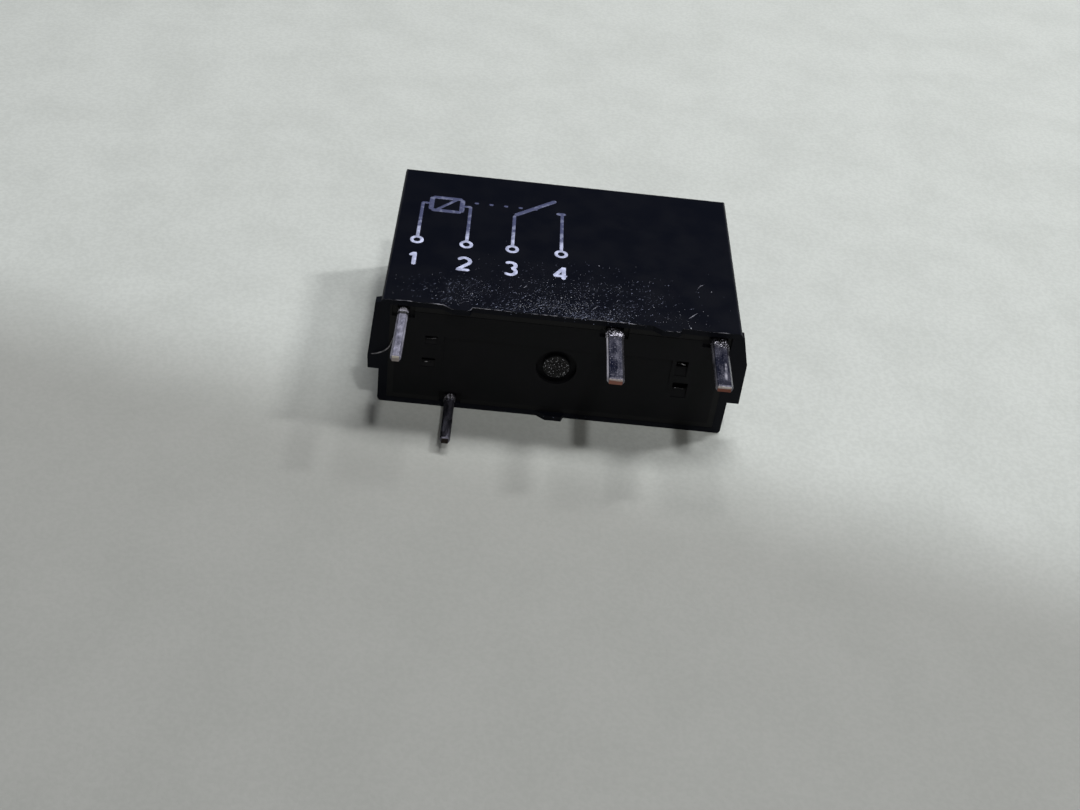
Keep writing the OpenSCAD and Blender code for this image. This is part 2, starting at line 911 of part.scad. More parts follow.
module coil_terminal_b() {
    color("#c3c2c8") {
        pin(coil_b_x, -1, coil_pin_width, trim_coil_b);
        // Strip that carries the post over to the end of the coil
        slab(sheet, -row_z)
            box_outline(
                [coil_a_x - coil_pin_width / 2, base_top],
                [coil_b_x + coil_pin_width / 2, base_top + 0.5]
            );
        coil_post(-1);
    }
}

// Straight wire between two points
module rod(from, to) {
    run = to - from;
    translate(from)
        rotate([0, acos(run.z / norm(run)), atan2(run.y, run.x)])
            cylinder(h = norm(run), d = wire, $fn = 16);
}

// Wire end that leaves the winding and is wound round its post
module coil_lead(side) {
    post = [coil_pin_width + 2 * fit, sheet + 2 * fit];
    start = [coil_x - core_width / 2 - winding_build + 0.25, wire_y + wire, side * 1.15];
    finish = [coil_a_x + coil_pin_width / 4, wire_y + wire, side * (row_z - post.y / 2 - wire / 2)];
    color("#b5622f") {
        rod(start, finish);
        translate([coil_a_x, 0, side * row_z])
            for (turn = [0:lead_turns - 1])
                rise(wire_y + turn * turn_pitch, wire_y + turn * turn_pitch + turn_height)
                    difference() {
                        square(post + [2, 2] * wire * (turn % 2 == 0 ? 1 : 0.8), center = true);
                        square(post, center = true);
                    }
    }
}

// Solder round the post, above the wound wire
module coil_solder(side) {
    color("#c9ccd2")
        translate([coil_a_x, 0, side * row_z])
            rise(solder_y, solder_y + 0.2)
                difference() {
                    rounded_outline(coil_pin_width + 0.22, sheet + 0.2, 0.1);
                    square([coil_pin_width, sheet], center = true);
                }
}

module coil_lead_a() {
    coil_lead(1);
}

module coil_lead_b() {
    coil_lead(-1);
}

module coil_solder_a() {
    coil_solder(1);
}

module coil_solder_b() {
    coil_solder(-1);
}

cover();
base();
sealing_resin();
bobbin();
winding();
core();
yoke();
armature();
hinge_spring();
hinge_spring_rivets();
card();
moving_spring();
moving_contact();
moving_spring_rivets();
moving_terminal();
fixed_terminal();
fixed_contact();
coil_terminal_a();
coil_terminal_b();
coil_lead_a();
coil_lead_b();
coil_solder_a();
coil_solder_b();
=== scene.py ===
import math
from functools import partial

import bpy
import numpy as np
from mathutils import Matrix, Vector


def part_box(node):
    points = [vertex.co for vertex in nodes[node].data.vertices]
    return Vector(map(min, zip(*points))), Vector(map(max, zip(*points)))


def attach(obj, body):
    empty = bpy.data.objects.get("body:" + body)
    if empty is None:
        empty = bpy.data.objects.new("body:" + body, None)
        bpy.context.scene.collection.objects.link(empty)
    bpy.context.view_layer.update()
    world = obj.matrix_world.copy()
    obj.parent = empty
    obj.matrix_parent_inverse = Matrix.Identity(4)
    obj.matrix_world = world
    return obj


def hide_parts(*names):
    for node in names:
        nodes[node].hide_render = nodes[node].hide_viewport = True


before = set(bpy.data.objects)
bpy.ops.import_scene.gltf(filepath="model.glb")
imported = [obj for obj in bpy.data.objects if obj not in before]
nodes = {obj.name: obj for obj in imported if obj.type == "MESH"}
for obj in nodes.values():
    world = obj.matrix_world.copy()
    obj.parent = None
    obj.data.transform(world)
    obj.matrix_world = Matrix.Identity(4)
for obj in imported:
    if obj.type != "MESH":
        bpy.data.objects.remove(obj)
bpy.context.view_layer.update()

mm = 0.001
random = np.random.default_rng(11)
noTriangles = np.zeros((0, 3), int)


def boxMm(name):  # lowest and highest corner of a CAD node, in millimetres
    low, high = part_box(name)
    return np.array(low) / mm, np.array(high) / mm


coverLow, coverHigh = boxMm("cover")
labelZ = coverHigh[2]  # the marked face
floorZ = coverLow[2]  # the face that the relay lies on
rimY = boxMm("base")[0][1]  # rim of the cover and underside of the base
stripThick = 0.3  # the sheet that the pins are cut from
print("frame loaded, cover from", coverLow.round(2), "to", coverHigh.round(2))


def hexLinear(code):  # an sRGB hex colour as the linear one that sockets take
    parts = [int(code[i:i + 2], 16) / 255 for i in (1, 3, 5)]
    return [c / 12.92 if c <= 0.04045 else ((c + 0.055) / 1.055) ** 2.4 for c in parts] + [1]


# the nodes used most, under the name of what they do: their kind and settings
usual = {
    "ramp": ("MapRange", dict(interpolation_type="SMOOTHSTEP")),  # value, its low and high, new low and high
    "blend": ("Mix", dict(data_type="RGBA")),  # factor and two colours
    "stretched": ("Mapping", dict(vector_type="TEXTURE")),
    "plus": ("Math", dict(operation="ADD")),
    "minus": ("Math", dict(operation="SUBTRACT")),
    "times": ("Math", dict(operation="MULTIPLY")),
    "most": ("Math", dict(operation="MAXIMUM")),
    "below": ("Math", dict(operation="LESS_THAN")),
    "size": ("Math", dict(operation="ABSOLUTE")),
}


def add(tree, kind, *feeds, **settings):
    # one node and its settings, fed in the order of its inputs, or by name from a dictionary; a feed is a
    # number, a hex colour, an output or a whole node
    kind, always = usual.get(kind, (kind, {}))
    item = tree.nodes.new("ShaderNode" + kind)
    for key, value in {**always, **settings}.items():
        setattr(item, key, value)
    inOrder = [socket for socket in item.inputs if socket.enabled]
    named = feeds[0] if feeds and isinstance(feeds[0], dict) else dict(enumerate(feeds))
    for key, value in named.items():
        socket = item.inputs[key] if isinstance(key, str) else inOrder[key]
        if isinstance(value, bpy.types.Node):
            value = next(output for output in value.outputs if output.enabled)
        if isinstance(value, bpy.types.NodeSocket):
            tree.links.new(value, socket)
        else:
            socket.default_value = hexLinear(value) if isinstance(value, str) else value
    return item


def newMaterial(name):  # an empty material, what puts nodes in it, and Object coordinates in millimetres
    material = bpy.data.materials.new(name)
    material.use_nodes = True
    material.node_tree.nodes.clear()
    put = partial(add, material.node_tree)
    place = put("Mapping", {"Vector": put("TexCoord").outputs["Object"], "Scale": (1 / mm,) * 3})
    return material, put, place


def finished(material, colour, roughness, height=None, relief=0.2, depthMm=0.01, specular=0.5, metallic=0):
    # the shader and output of a material, fed with what it worked out; its relief has a real depth
    put = partial(add, material.node_tree)
    feeds = {"Base Color": colour, "Roughness": roughness, "Metallic": metallic,
             "Specular IOR Level": specular}
    if height:
        feeds["Normal"] = put("Bump", {"Height": height, "Strength": relief, "Distance": depthMm * mm})
    put("OutputMaterial", {"Surface": put("BsdfPrincipled", feeds)})
    return material


# a noise takes its place, scale and detail, and lies round a half: these are the low and high that its
# middle is carried from, softly or sharply
soft, sharp = (0.3, 0.7), (0.35, 0.65)

# Moulded polyester with glass fibre, from a fine spark-eroded mould: black with a cold cast and a
# satin sheen. The marked face is scuffed and dusty near the pins, and the edges are rubbed.
coverLook = dict(
    plastic="#050710", worn="#b6bedd", rubbed="#1d1e26", specular=0.125,
    roughness=0.285, elsewhere=0.5,  # the marked face is smoother than the others
    uneven=0.07, markRough=0.2,  # what patches and marks add to the roughness
    grainMm=0.09,  # the real grain is about 0.03 mm, drawn coarser so that it shows
    patchMm=1.3, cloud=(0.36, 0.58, 0.4, 1),
    # worn patches on the marked face: middle, half widths along X and Y in millimetres, and strength
    patches=((-0.2, 0.7, 4.4, 1.5, 1), (3.0, 1.8, 2.9, 1.5, 0.36), (-5.0, 1.6, 3.0, 1.5, 0.35),
             (1.0, 2.2, 6.5, 3.0, 0.2)),
    patchFade=(1.15, 0.25),
    faceMm=(0.1, 0.02), offFace=0.06,  # how far under the marked face its looks begin, and the wear off it
    # marks: length and width of one mark in millimetres, its angle in radians, and its share of the cells
    marks=((0.085, 0.045, 0.8, 0.75), (0.11, 0.055, 0.45, 0.5), (0.12, 0.1, 0.2, 0.06),
           (0.24, 0.04, 0.75, 0.45), (0.2, 0.04, 0.5, 0.3), (0.2, 0.04, -0.4, 0.12), (0.14, 0.04, 1.3, 0.1)),
    markSize=0.36, markGlow=(0.4, 1, 0.1, 1), markRise=2,
    # scratches: length and width in millimetres, and angle
    scratches=((1.5, 0.035, 0.7), (1.1, 0.035, 0.45), (0.9, 0.035, 1.1)),
    scratchAt=(0.78, 0.81), scratchWear=(0.05, 0.8, 0, 0.4),
    endX=8.7, edgeMm=(0.22, 0.04), edgeBroken=(0.9, 1.15),  # the case's ends, and how wide edges are rubbed
    haze=0.008,
)


def blackPolyester():
    look = coverLook
    material, put, place = newMaterial("blackPolyester")
    x, y, z = put("SeparateXYZ", place).outputs
    patch = put("TexNoise", place, 1 / look["patchMm"], 3)
    grain = put("TexNoise", place, 1 / look["grainMm"], 2)
    faceFrom, faceTo = (labelZ - depth for depth in look["faceMm"])
    # wear: the strongest of the patches, which fade from their middles, times a cloud, on the marked face
    wear = 0
    for middleX, middleY, halfX, halfY, strength in look["patches"]:
        around = put("stretched", {"Vector": place, "Location": (middleX, middleY, labelZ),
                                   "Scale": (halfX, halfY, 1000)})
        away = put("VectorMath", around, operation="LENGTH")
        wear = put("most", wear, put("ramp", away, *look["patchFade"], 0, strength))
    wear = put("times", wear, put("ramp", patch, *look["cloud"]))
    wear = put("times", wear, put("ramp", z, faceFrom, faceTo, look["offFace"], 1))
    # marks: the middles of stretched cells, more of them where it is worn, and few of them bright
    marks = 0
    for length, width, angle, share in look["marks"]:
        turned = put("stretched", {"Vector": place, "Rotation": (0, 0, angle), "Scale": (length, width, 0.1)})
        cells = put("TexVoronoi", turned, 1)
        pick, span, glow = put("SeparateColor", cells.outputs["Color"]).outputs
        small = put("below", cells, put("times", span, look["markSize"]))
        few = put("below", pick, put("times", wear, share))
        bright = put("ramp", glow, *look["markGlow"])
        marks = put("most", marks, put("times", put("times", small, few), bright))
    for length, width, angle in look["scratches"]:
        turned = put("stretched", {"Vector": place, "Rotation": (0, 0, angle), "Scale": (length, width, 1)})
        streak = put("ramp", put("TexNoise", turned, 1, 0), *look["scratchAt"])
        line = put("times", streak, put("ramp", wear, *look["scratchWear"]))
        marks = put("most", marks, line)
    # edges: where two of the three coordinates are near the outside of the case, broken by both noises
    outside = ((put("size", x), look["endX"]), (y, coverHigh[1]), (put("size", z), labelZ))
    near = [put("ramp", value, *(end - width for width in look["edgeMm"])) for value, end in outside]
    pairs = [put("times", near[i], near[j]) for i, j in ((0, 1), (1, 2), (0, 2))]
    edge = put("most", put("most", pairs[0], pairs[1]), pairs[2])
    edge = put("times", edge, put("ramp", put("plus", patch, grain), *look["edgeBroken"]))
    haze = put("times", wear, put("times", grain, look["haze"]))
    colour = put("blend", edge, look["plastic"], look["rubbed"])
    colour = put("blend", put("most", marks, haze), colour, look["worn"])
    rough = put("ramp", z, faceFrom, faceTo, look["elsewhere"], look["roughness"])
    rough = put("plus", rough, put("ramp", patch, *soft, 0, look["uneven"]))
    rough = put("plus", rough, put("times", marks, look["markRough"]))
    height = put("plus", grain, put("times", marks, look["markRise"]))
    return finished(material, colour, rough, height, relief=0.1, specular=look["specular"])


# The same polyester on the base, with a dull finish from its coarser mould and a film of flux
baseLook = dict(plastic="#07080b", film="#0f0f12", roughness=(0.48, 0.66), specular=0.14,
                grainMm=0.12, filmMm=1.8, filmed=(0.35, 0.7))


def dullPolyester():
    look = baseLook
    material, put, place = newMaterial("dullPolyester")
    grain = put("TexNoise", place, 1 / look["grainMm"], 3)
    film = put("TexNoise", place, 1 / look["filmMm"], 4)
    colour = put("blend", put("ramp", film, *look["filmed"]), look["plastic"], look["film"])
    rough = put("ramp", film, *soft, *look["roughness"])
    return finished(material, colour, rough, grain, depthMm=0.012, specular=look["specular"])


# Filled epoxy cast into the seam: near black, smooth, slightly glossier than the plastic
resinLook = dict(resin="#0c0c0d", cloud="#161618", roughness=0.42, specular=0.15, cloudMm=0.5)


def sealingEpoxy():
    look = resinLook
    material, put, place = newMaterial("sealingEpoxy")
    cloud = put("TexNoise", place, 1 / look["cloudMm"], 4)
    colour = put("blend", cloud, look["resin"], look["cloud"])
    return finished(material, colour, look["roughness"], cloud, relief=0.3, depthMm=0.03,
                    specular=look["specular"])


def plainMaterial(name, shades, roughness, metallic=0, patchMm=0.6, grainMm=0.05, relief=0.15,
                  stretch=(1, 1, 1)):
    # one recipe for the plain moulded, drawn and cast pieces: two shades in soft patches, a roughness
    # that follows them, and a relief at the size of the real surface's grain
    material, put, place = newMaterial(name)
    drawn = put("Mapping", {"Vector": place, "Scale": stretch})
    patch = put("TexNoise", drawn, 1 / patchMm, 4)
    grain = put("TexNoise", drawn, 1 / grainMm, 2)
    colour = put("blend", put("ramp", patch, 0.32, 0.68), *shades)
    rough = put("ramp", patch, *soft, *roughness)
    return finished(material, colour, rough, grain, relief=relief, metallic=metallic)


# Copper alloy strip, hot-dip tinned and then cut: silver with a lavender cast. The sheared end shows
# the alloy under a smear of tin along its upper edge. Pairs of sizes in millimetres are where a look
# starts and where it is full, and the small numbers beside a limit are how softly it is crossed.
stripLook = dict(
    # flux is the dark of the solder's folds and also the colour of painted shade; pale is the colour of
    # scuffs, nicks and rubbed tin, and of the painted highlight on the bevels
    tin="#a3a2b4", solder="#d2d0dc", flux="#111116", pale="#cac8d2",
    shade=0.7,  # the darker tin, as a share of the lighter
    streakMm=0.1, drawn=0.3, nickMm=0.075, solderMm=0.09,  # sizes of the patterns; streaks run along the pin
    bevelMm=0.1, paleMm=0.065, clipMm=0.1,  # widths of bevels, of their pale line and of the clipped corners
    # how a cloud breaks up the pale bevel lines, and their strength on the clipped corners: rubbed tin and
    # painted highlight
    rubbed=(0.3, 0.55, 0.45, 1), clipPale=0.35,
    endMm=(0.17, 0.1),  # painted shade at the end of the blade, above the tip
    draggedMm=(0.16, 0.09), dragged=0.35,  # the tin is dragged dull just above the cut
    scuffWander=0.3, scuffLeast=0.45, nicked=(0.58, 0.68),
    cleanMm=(0.6, 0.5),  # above this the strip is inside the case, and clean
    twist=1.2, lineWander=0.05,
    rootMm=(0.05, 0.12), rootArch=0.25,  # painted shade darkens the root's upper corners
    cutMm=(0.06, 0.035), cutRagged=0.06, smearRagged=0.12,
    cutDull=0.5, paleDull=0.9, rootRough=0.22, paleRough=0.3, cutRough=0.3,
)

terminals = {
    # x, z, width: place and size in millimetres. coat, ripple: thickness of the tin and of its waves.
    # roughness, frost, relief: of the blade. lump, lumpEnd, slant: the old solder's thickness, its lower end,
    # and how far that slants. line: a dark line under it (height, half width, strength).
    # scuff: a paler patch (place across, half width, low and high end, strength). bevel: how pale the left
    # and the right one are, partly rubbed tin and partly painted highlight. Then the strength of a painted
    # shade on the bevels and above the tip, and that of the nicks. ridge: where folds of solder turn bright.
    # bright: share of the tin's full colour, set per pin as a painted shade for the light each pin catches.
    # cut, smear: the cut end, and the tin dragged smearMm over it.
    "coil_terminal_a": dict(
        x=-7.62, z=2.54, width=0.5, coat=0.004, ripple=0.002, roughness=(0.38, 0.56), frost=0.5, relief=0.8,
        lump=0.02, lumpEnd=0.1, slant=0, line=(-0.02, 0.1, 1), scuff=(0, 0.3, -3.3, -0.3, 0),
        bevel=(0.1, 0.25), paintedShade=0, nicks=0, ridge=(0.2, 0.4), bright=0.82,
        cut="#a9a19e", smear="#d9d3c8", smearMm=0.1),
    # this low pin's darker tin, its near-black cut end and its dark smear are painted shade
    "coil_terminal_b": dict(
        x=-5.08, z=-2.54, width=0.5, coat=0.006, ripple=0.0008, roughness=(0.16, 0.3), frost=0.2, relief=0.1,
        lump=0.04, lumpEnd=0.0, slant=0, line=(-0.12, 0.03, 0.6), scuff=(0, 0.1, -2, -1, 0),
        bevel=(0, 0.12), paintedShade=0.4, nicks=0.1, ridge=(0.42, 0.62), bright=0.57,
        cut="#231b17", smear="#2c2624", smearMm=0.05),
    "moving_terminal": dict(
        x=2.54, z=2.54, width=0.8, coat=0.01, ripple=0.0008, roughness=(0.1, 0.24), frost=0.16, relief=0.12,
        lump=0.034, lumpEnd=-0.18, slant=0, line=(-0.24, 0.035, 1), scuff=(0.22, 0.2, -3.2, -0.5, 0.25),
        bevel=(1, 0.2), paintedShade=0.6, nicks=0.4, ridge=(0.46, 0.66), bright=0.58,
        cut="#996a5c", smear="#c4b9b6", smearMm=0.07),
    "fixed_terminal": dict(
        x=7.62, z=2.54, width=0.8, coat=0.012, ripple=0.0008, roughness=(0.1, 0.24), frost=0.16, relief=0.12,
        lump=0.034, lumpEnd=-0.1, slant=-0.16, line=(-0.12, 0.04, 0.7), scuff=(0.13, 0.09, -2.75, -1.45, 0.6),
        bevel=(0.35, 0.15), paintedShade=0.5, nicks=0.3, ridge=(0.48, 0.68), bright=0.53,
        cut="#8a5748", smear="#cfc9c6", smearMm=0.1),
}


def tinnedStrip(name, terminal):
    look, half, tip = stripLook, terminal["width"] / 2, terminal["tip"]
    material, put, place = newMaterial(name)
    x, y, z = put("SeparateXYZ", place).outputs
    streak = put("Mapping", {"Vector": place, "Scale": (1, look["drawn"], 1)})
    tone = put("TexNoise", streak, 1 / look["streakMm"], 4)
    cloud = put("TexNoise", streak, 1 / (3 * look["streakMm"]), 3)
    across = put("minus", x, terminal["x"])
    offMiddle = put("size", across)
    fromTip = put("minus", y, tip)

    # tin in two shades, with a painted shade on the bevels and at the end of the blade
    # the pin's bright share scales the tin: a painted shade, darker on some pins than on others
    light, dark = ([part * share for part in hexLinear(look["tin"])[:3]] + [1]
                   for share in (terminal["bright"], terminal["bright"] * look["shade"]))
    tin = put("blend", put("ramp", tone, 0.35, 0.66), light, dark)
    onBevel = put("ramp", offMiddle, half - look["bevelMm"] - 0.01, half - look["bevelMm"] + 0.02)
    paintedShade = put("most", onBevel, put("ramp", fromTip, *look["endMm"]))
    tin = put("blend", put("times", paintedShade, terminal["paintedShade"]), tin, look["flux"])

    # the bevels and the clipped corners of the tip are painted pale, partly as rubbed tin and partly as a
    # painted highlight, the left and the right side unlike
    line = put("ramp", offMiddle, half - look["paleMm"] - 0.01, half - look["paleMm"] + 0.02)
    clipped = put("ramp", put("minus", offMiddle, fromTip), half - look["clipMm"] - 0.02,
                  half - look["clipMm"] + 0.01)
    pale = put("most", line, put("times", clipped, look["clipPale"]))
    pale = put("times", pale, put("ramp", cloud, *look["rubbed"]))
    pale = put("times", pale, put("ramp", across, -0.02, 0.02, *terminal["bevel"]))

    # a scuff with wandering sides, and fine nicks all over the blade
    middle, reach, low, high, strength = terminal["scuff"]
    wander = look["scuffWander"]
    beside = put("minus", put("plus", across, put("times", cloud, wander)), middle + wander / 2)
    scuff = put("ramp", put("size", beside), reach, reach - 0.05)
    scuff = put("times", scuff, put("ramp", y, low - 0.1, low + 0.15))
    scuff = put("times", scuff, put("ramp", y, high + 0.1, high - 0.15))
    scuff = put("times", scuff, put("ramp", tone, *sharp, look["scuffLeast"] * strength, strength))
    nick = put("TexNoise", place, 1 / look["nickMm"], 2)
    pale = put("most", pale, scuff)
    pale = put("most", pale, put("ramp", nick, *look["nicked"], 0, terminal["nicks"]))
    tin = put("blend", pale, tin, look["pale"])

    # old solder at the root, a tangle of dark folds and bright ridges
    leaning = put("minus", y, put("times", across, terminal["slant"] / half))
    outside = put("ramp", y, *(rimY + above for above in look["cleanMm"]))
    atRoot = put("ramp", leaning, terminal["lumpEnd"] - 0.03, terminal["lumpEnd"] + 0.03)
    atRoot = put("times", atRoot, outside)
    fold = put("TexNoise", {"Vector": place, "Scale": 1 / look["solderMm"], "Detail": 1,
                            "Distortion": look["twist"]})
    solder = put("blend", put("ramp", fold, *terminal["ridge"]), look["flux"], look["solder"])
    tin = put("blend", atRoot, tin, solder)

    # a dark line under it, and a painted shade in the upper corners, which leaves the solder a round top
    lineAt, lineHalf, lineStrength = terminal["line"]
    wander = look["lineWander"]
    offLine = put("minus", put("plus", leaning, put("times", cloud, wander)), lineAt + wander / 2)
    darkLineAndRootShade = put("ramp", put("size", offLine), lineHalf + 0.015, lineHalf - 0.015, 0, lineStrength)
    squared = put("times", offMiddle, offMiddle)
    arch = put("plus", y, put("times", squared, look["rootArch"] / half ** 2))
    corners = put("ramp", arch, *(rimY + above for above in look["rootMm"]))
    darkLineAndRootShade = put("most", darkLineAndRootShade, put("times", corners, outside))
    tin = put("blend", darkLineAndRootShade, tin, look["flux"])

    # the cut end, with a ragged edge and tin smeared down from its upper side
    ragged = put("plus", y, put("times", tone, look["cutRagged"]))
    cut = put("ramp", ragged, *(tip + above for above in look["cutMm"]))
    smearEnd = terminal["z"] + stripThick / 2 - terminal["smearMm"]
    raggedZ = put("plus", z, put("times", cloud, look["smearRagged"]))
    smeared = put("ramp", raggedZ, smearEnd + 0.03, smearEnd + 0.08)
    colour = put("blend", cut, tin, put("blend", smeared, terminal["cut"], terminal["smear"]))

    # frosted tin is part metal and part dull skin, and the dark line, the painted shade at the root, the pale
    # bevels, scuffs and nicks, and bare cut metal are dull as well
    frost = put("ramp", cloud, *soft, 0, terminal["frost"])
    dull = put("most", put("times", cut, look["cutDull"]), frost)
    dull = put("most", put("most", dull, darkLineAndRootShade), put("times", pale, look["paleDull"]))
    rough = put("ramp", cloud, *sharp, *terminal["roughness"])
    for where, more in ((atRoot, look["rootRough"]), (pale, look["paleRough"]), (cut, look["cutRough"])):
        rough = put("plus", rough, put("times", where, more))
    rough = put("plus", rough, put("ramp", fromTip, *look["draggedMm"], 0, look["dragged"]))
    return finished(material, colour, rough, tone, relief=terminal["relief"], depthMm=0.02,
                    metallic=put("minus", 1, dull))


looks = {
    "cover": blackPolyester(),
    "base": dullPolyester(),
    "sealing_resin": sealingEpoxy(),
    # natural nylon: creamy, faintly translucent to the eye, with a soft moulded sheen
    "bobbin": plainMaterial("naturalNylon", ("#e4dfcf", "#d8d1bd"), (0.4, 0.5)),
    # soft iron, electroplated with nickel over a stamped surface
    "core": plainMaterial("nickelledIron", ("#b9bbbd", "#a4a6a8"), (0.28, 0.4), metallic=1, patchMm=0.8),
    # rolled copper alloy: warm, with fine lines along the rolling direction
    "hinge_spring": plainMaterial("springCopper", ("#c99a6b", "#b98557"), (0.22, 0.34), metallic=1,
                                  grainMm=0.04, relief=0.2, stretch=(1, 0.15, 1)),
    # liquid crystal polymer: off-white with flow lines from the gate
    "card": plainMaterial("flowLinedPolymer", ("#e6ddc2", "#d9cda9"), (0.45, 0.6), stretch=(0.3, 1, 1)),
    # silver alloy, headed and turned
    "moving_contact": plainMaterial("contactSilver", ("#dcdcdc", "#c6c6c8"), (0.16, 0.3), metallic=1),
    # tin solder, frozen with a fine crystalline skin
    "coil_solder_a": plainMaterial("tinSolder", ("#c3c4cb", "#9fa0a9"), (0.2, 0.4), metallic=1,
                                   patchMm=0.12, grainMm=0.04, relief=0.4),
    # copper wire in polyurethane enamel: red-brown under a clear gloss
    "winding": plainMaterial("enamelledWire", ("#a04f28", "#8a3f1d"), (0.2, 0.3), metallic=0.6, patchMm=0.9),
}
sameLook = {
    "yoke": "core", "armature": "core", "hinge_spring_rivets": "core", "moving_spring": "hinge_spring",
    "moving_spring_rivets": "hinge_spring", "fixed_contact": "moving_contact",
    "coil_solder_b": "coil_solder_a", "coil_lead_a": "winding", "coil_lead_b": "winding",
}
for name, other in sameLook.items():
    looks[name] = looks[other]
for name, terminal in terminals.items():
    terminal["tip"] = boxMm(name)[0][1]
    looks[name] = tinnedStrip("tinnedStrip_" + name, terminal)
for name, item in nodes.items():
    item.data.materials.clear()
    item.data.materials.append(looks[name])
print("materials set on", len(nodes), "nodes")


def gridFaces(rows, columns, closedRows=False):
    # quads between neighbouring rows and columns of a grid, whose columns, and rows if closed, go round
    i, j = np.meshgrid(np.arange(rows - (not closedRows)), np.arange(columns), indexing="ij")
    below, beside = (i + 1) % rows, (j + 1) % columns
    corners = [i * columns + j, i * columns + beside, below * columns + beside, below * columns + j]
    return np.stack(corners, -1).reshape(-1, 4)


def capFaces(pole, ring):  # triangles from a pole to the ring of points round it
    return np.stack([np.full(len(ring), pole), ring, np.roll(ring, -1)], -1)


def endCaps(rows, columns):
    # triangles from two poles, which come after a grid's points, to its first and last row, each walked
    # the other way round than its quads walk it, so that all faces turn alike
    ring = np.arange(columns)
    return np.concatenate([capFaces(rows * columns, ring[::-1]),
                           capFaces(rows * columns + 1, ring + (rows - 1) * columns)])


def signedVolume(points, triangles):  # a sixth of the sum of the triple products of each triangle's corners
    a, b, c = (points[triangles[:, k]] for k in range(3))
    return np.einsum("ij,ij->i", a, np.cross(b, c)).sum() / 6


def putAt(name, data, turn=np.eye(3), atMm=(0, 0, 0)):
    # an object of the data at a place in millimetres, turned by a matrix
    item = bpy.data.objects.new(name, data)
    matrix = np.eye(4)
    matrix[:3, :3], matrix[:3, 3] = turn, np.array(atMm) * mm
    item.matrix_world = Matrix(matrix.tolist())
    bpy.context.scene.collection.objects.link(item)
    return item


def buildPiece(name, points, quads, triangles, material, slot=None):
    # puts a closed surface, given in millimetres, into a mesh with its faces outwards, and rides it on
    # the housing
    halves = np.concatenate([quads[:, [0, 1, 2]], quads[:, [0, 2, 3]], triangles])
    if signedVolume(points, halves) < 0:
        quads, triangles = quads[:, ::-1], triangles[:, ::-1]
    mesh = bpy.data.meshes.new(name)
    mesh.from_pydata((points * mm).tolist(), [], quads.tolist() + triangles.tolist())
    mesh.polygons.foreach_set("use_smooth", np.ones(len(mesh.polygons), bool))
    mesh.materials.append(material)
    piece = putAt(name, mesh)
    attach(piece, "housing")
    return piece


def joined(parts):  # several (points, quads, triangles) as one set
    start, out = 0, ([], [], [])
    for points, quads, triangles in parts:
        out[0].append(points)
        out[1].append(quads + start)
        out[2].append(triangles + start)
        start += len(points)
    return [np.concatenate(part) for part in out]


def ripples(seed, lengths, count=26):
    # a smooth random surface: the mean of sine waves of random direction, length and phase
    waves = np.random.default_rng(seed)
    angle = waves.uniform(0, 2 * np.pi, count)
    pitch = 2 * np.pi / waves.uniform(*lengths, count)
    phase = waves.uniform(0, 2 * np.pi, count)

    def height(u, v):
        grown = np.multiply.outer(u, np.cos(angle) * pitch) + np.multiply.outer(v, np.sin(angle) * pitch)
        return np.sin(grown + phase).sum(-1) / math.sqrt(count / 2)
    return height


def walkedLength(points):  # how far along a line of points each one is
    return np.concatenate([[0], np.cumsum(np.linalg.norm(np.diff(points, axis=0), axis=1))])


def sectionWalk(halfWidth, halfThick, corner, count, cornerPoints=7):
    # a rectangle with round corners, or bevelled ones where a corner has two points, walked in equal
    # steps: points, outward normals and distance walked
    turn = np.linspace(0, np.pi / 2, cornerPoints)
    points, normals = [], []
    for quarter, (sx, sz) in enumerate(((1, 1), (-1, 1), (-1, -1), (1, -1))):
        angle = turn + quarter * np.pi / 2
        normal = np.stack([np.cos(angle), np.sin(angle)], -1)
        centre = np.array([sx * (halfWidth - corner), sz * (halfThick - corner)])
        points.append(centre + corner * normal)
        normals.append(normal)
    points, normals = (np.concatenate([*part, part[0][:1]]) for part in (points, normals))
    walked = walkedLength(points)
    steps = np.linspace(0, walked[-1], count, endpoint=False)
    place = np.stack([np.interp(steps, walked, points[:, k]) for k in range(2)], -1)
    normal = np.stack([np.interp(steps, walked, normals[:, k]) for k in range(2)], -1)
    return place, normal / np.linalg.norm(normal, axis=1, keepdims=True), steps


def sleeve(outer, inner, y, x=0, z=0):
    # an outer wall down the heights y and an inner wall back up, as one grid that closes on itself
    shape = np.concatenate([outer, inner[::-1]])
    height = np.broadcast_to(np.concatenate([y, y[::-1]])[:, None, None], shape[..., :1].shape)
    points = np.concatenate([shape[..., :1] + x, height, shape[..., 1:] + z], -1).reshape(-1, 3)
    return points, gridFaces(*shape.shape[:2], closedRows=True), noTriangles


def tube(path, radius, sides=8):
    # a round tube: a circle of the given radius at each point of a path, square to it, closed by two poles
    path = np.asarray(path, float)
    radius = np.broadcast_to(radius, len(path))[:, None, None]
    ahead = np.gradient(path, axis=0)
    ahead /= np.linalg.norm(ahead, axis=1, keepdims=True)
    side = np.cross(ahead, [0.13, 0.21, 1])
    side /= np.linalg.norm(side, axis=1, keepdims=True)
    lift = np.cross(ahead, side)
    angle = np.linspace(0, 2 * np.pi, sides, endpoint=False)
    ring = np.cos(angle)[None, :, None] * side[:, None] + np.sin(angle)[None, :, None] * lift[:, None]
    points = (path[:, None] + radius * ring).reshape(-1, 3)
    return np.vstack([points, path[0], path[-1]]), gridFaces(len(path), sides), endCaps(len(path), sides)


def throughKnots(knots, count):
    # a smooth curve and its share of the way: one polynomial, at most of degree 4, in each coordinate
    knots = np.array(knots)
    t = np.linspace(0, len(knots) - 1, count)
    fits = [np.polyfit(range(len(knots)), column, min(len(knots) - 1, 4)) for column in knots.T]
    return np.stack([np.polyval(fit, t) for fit in fits], -1), t / t[-1]


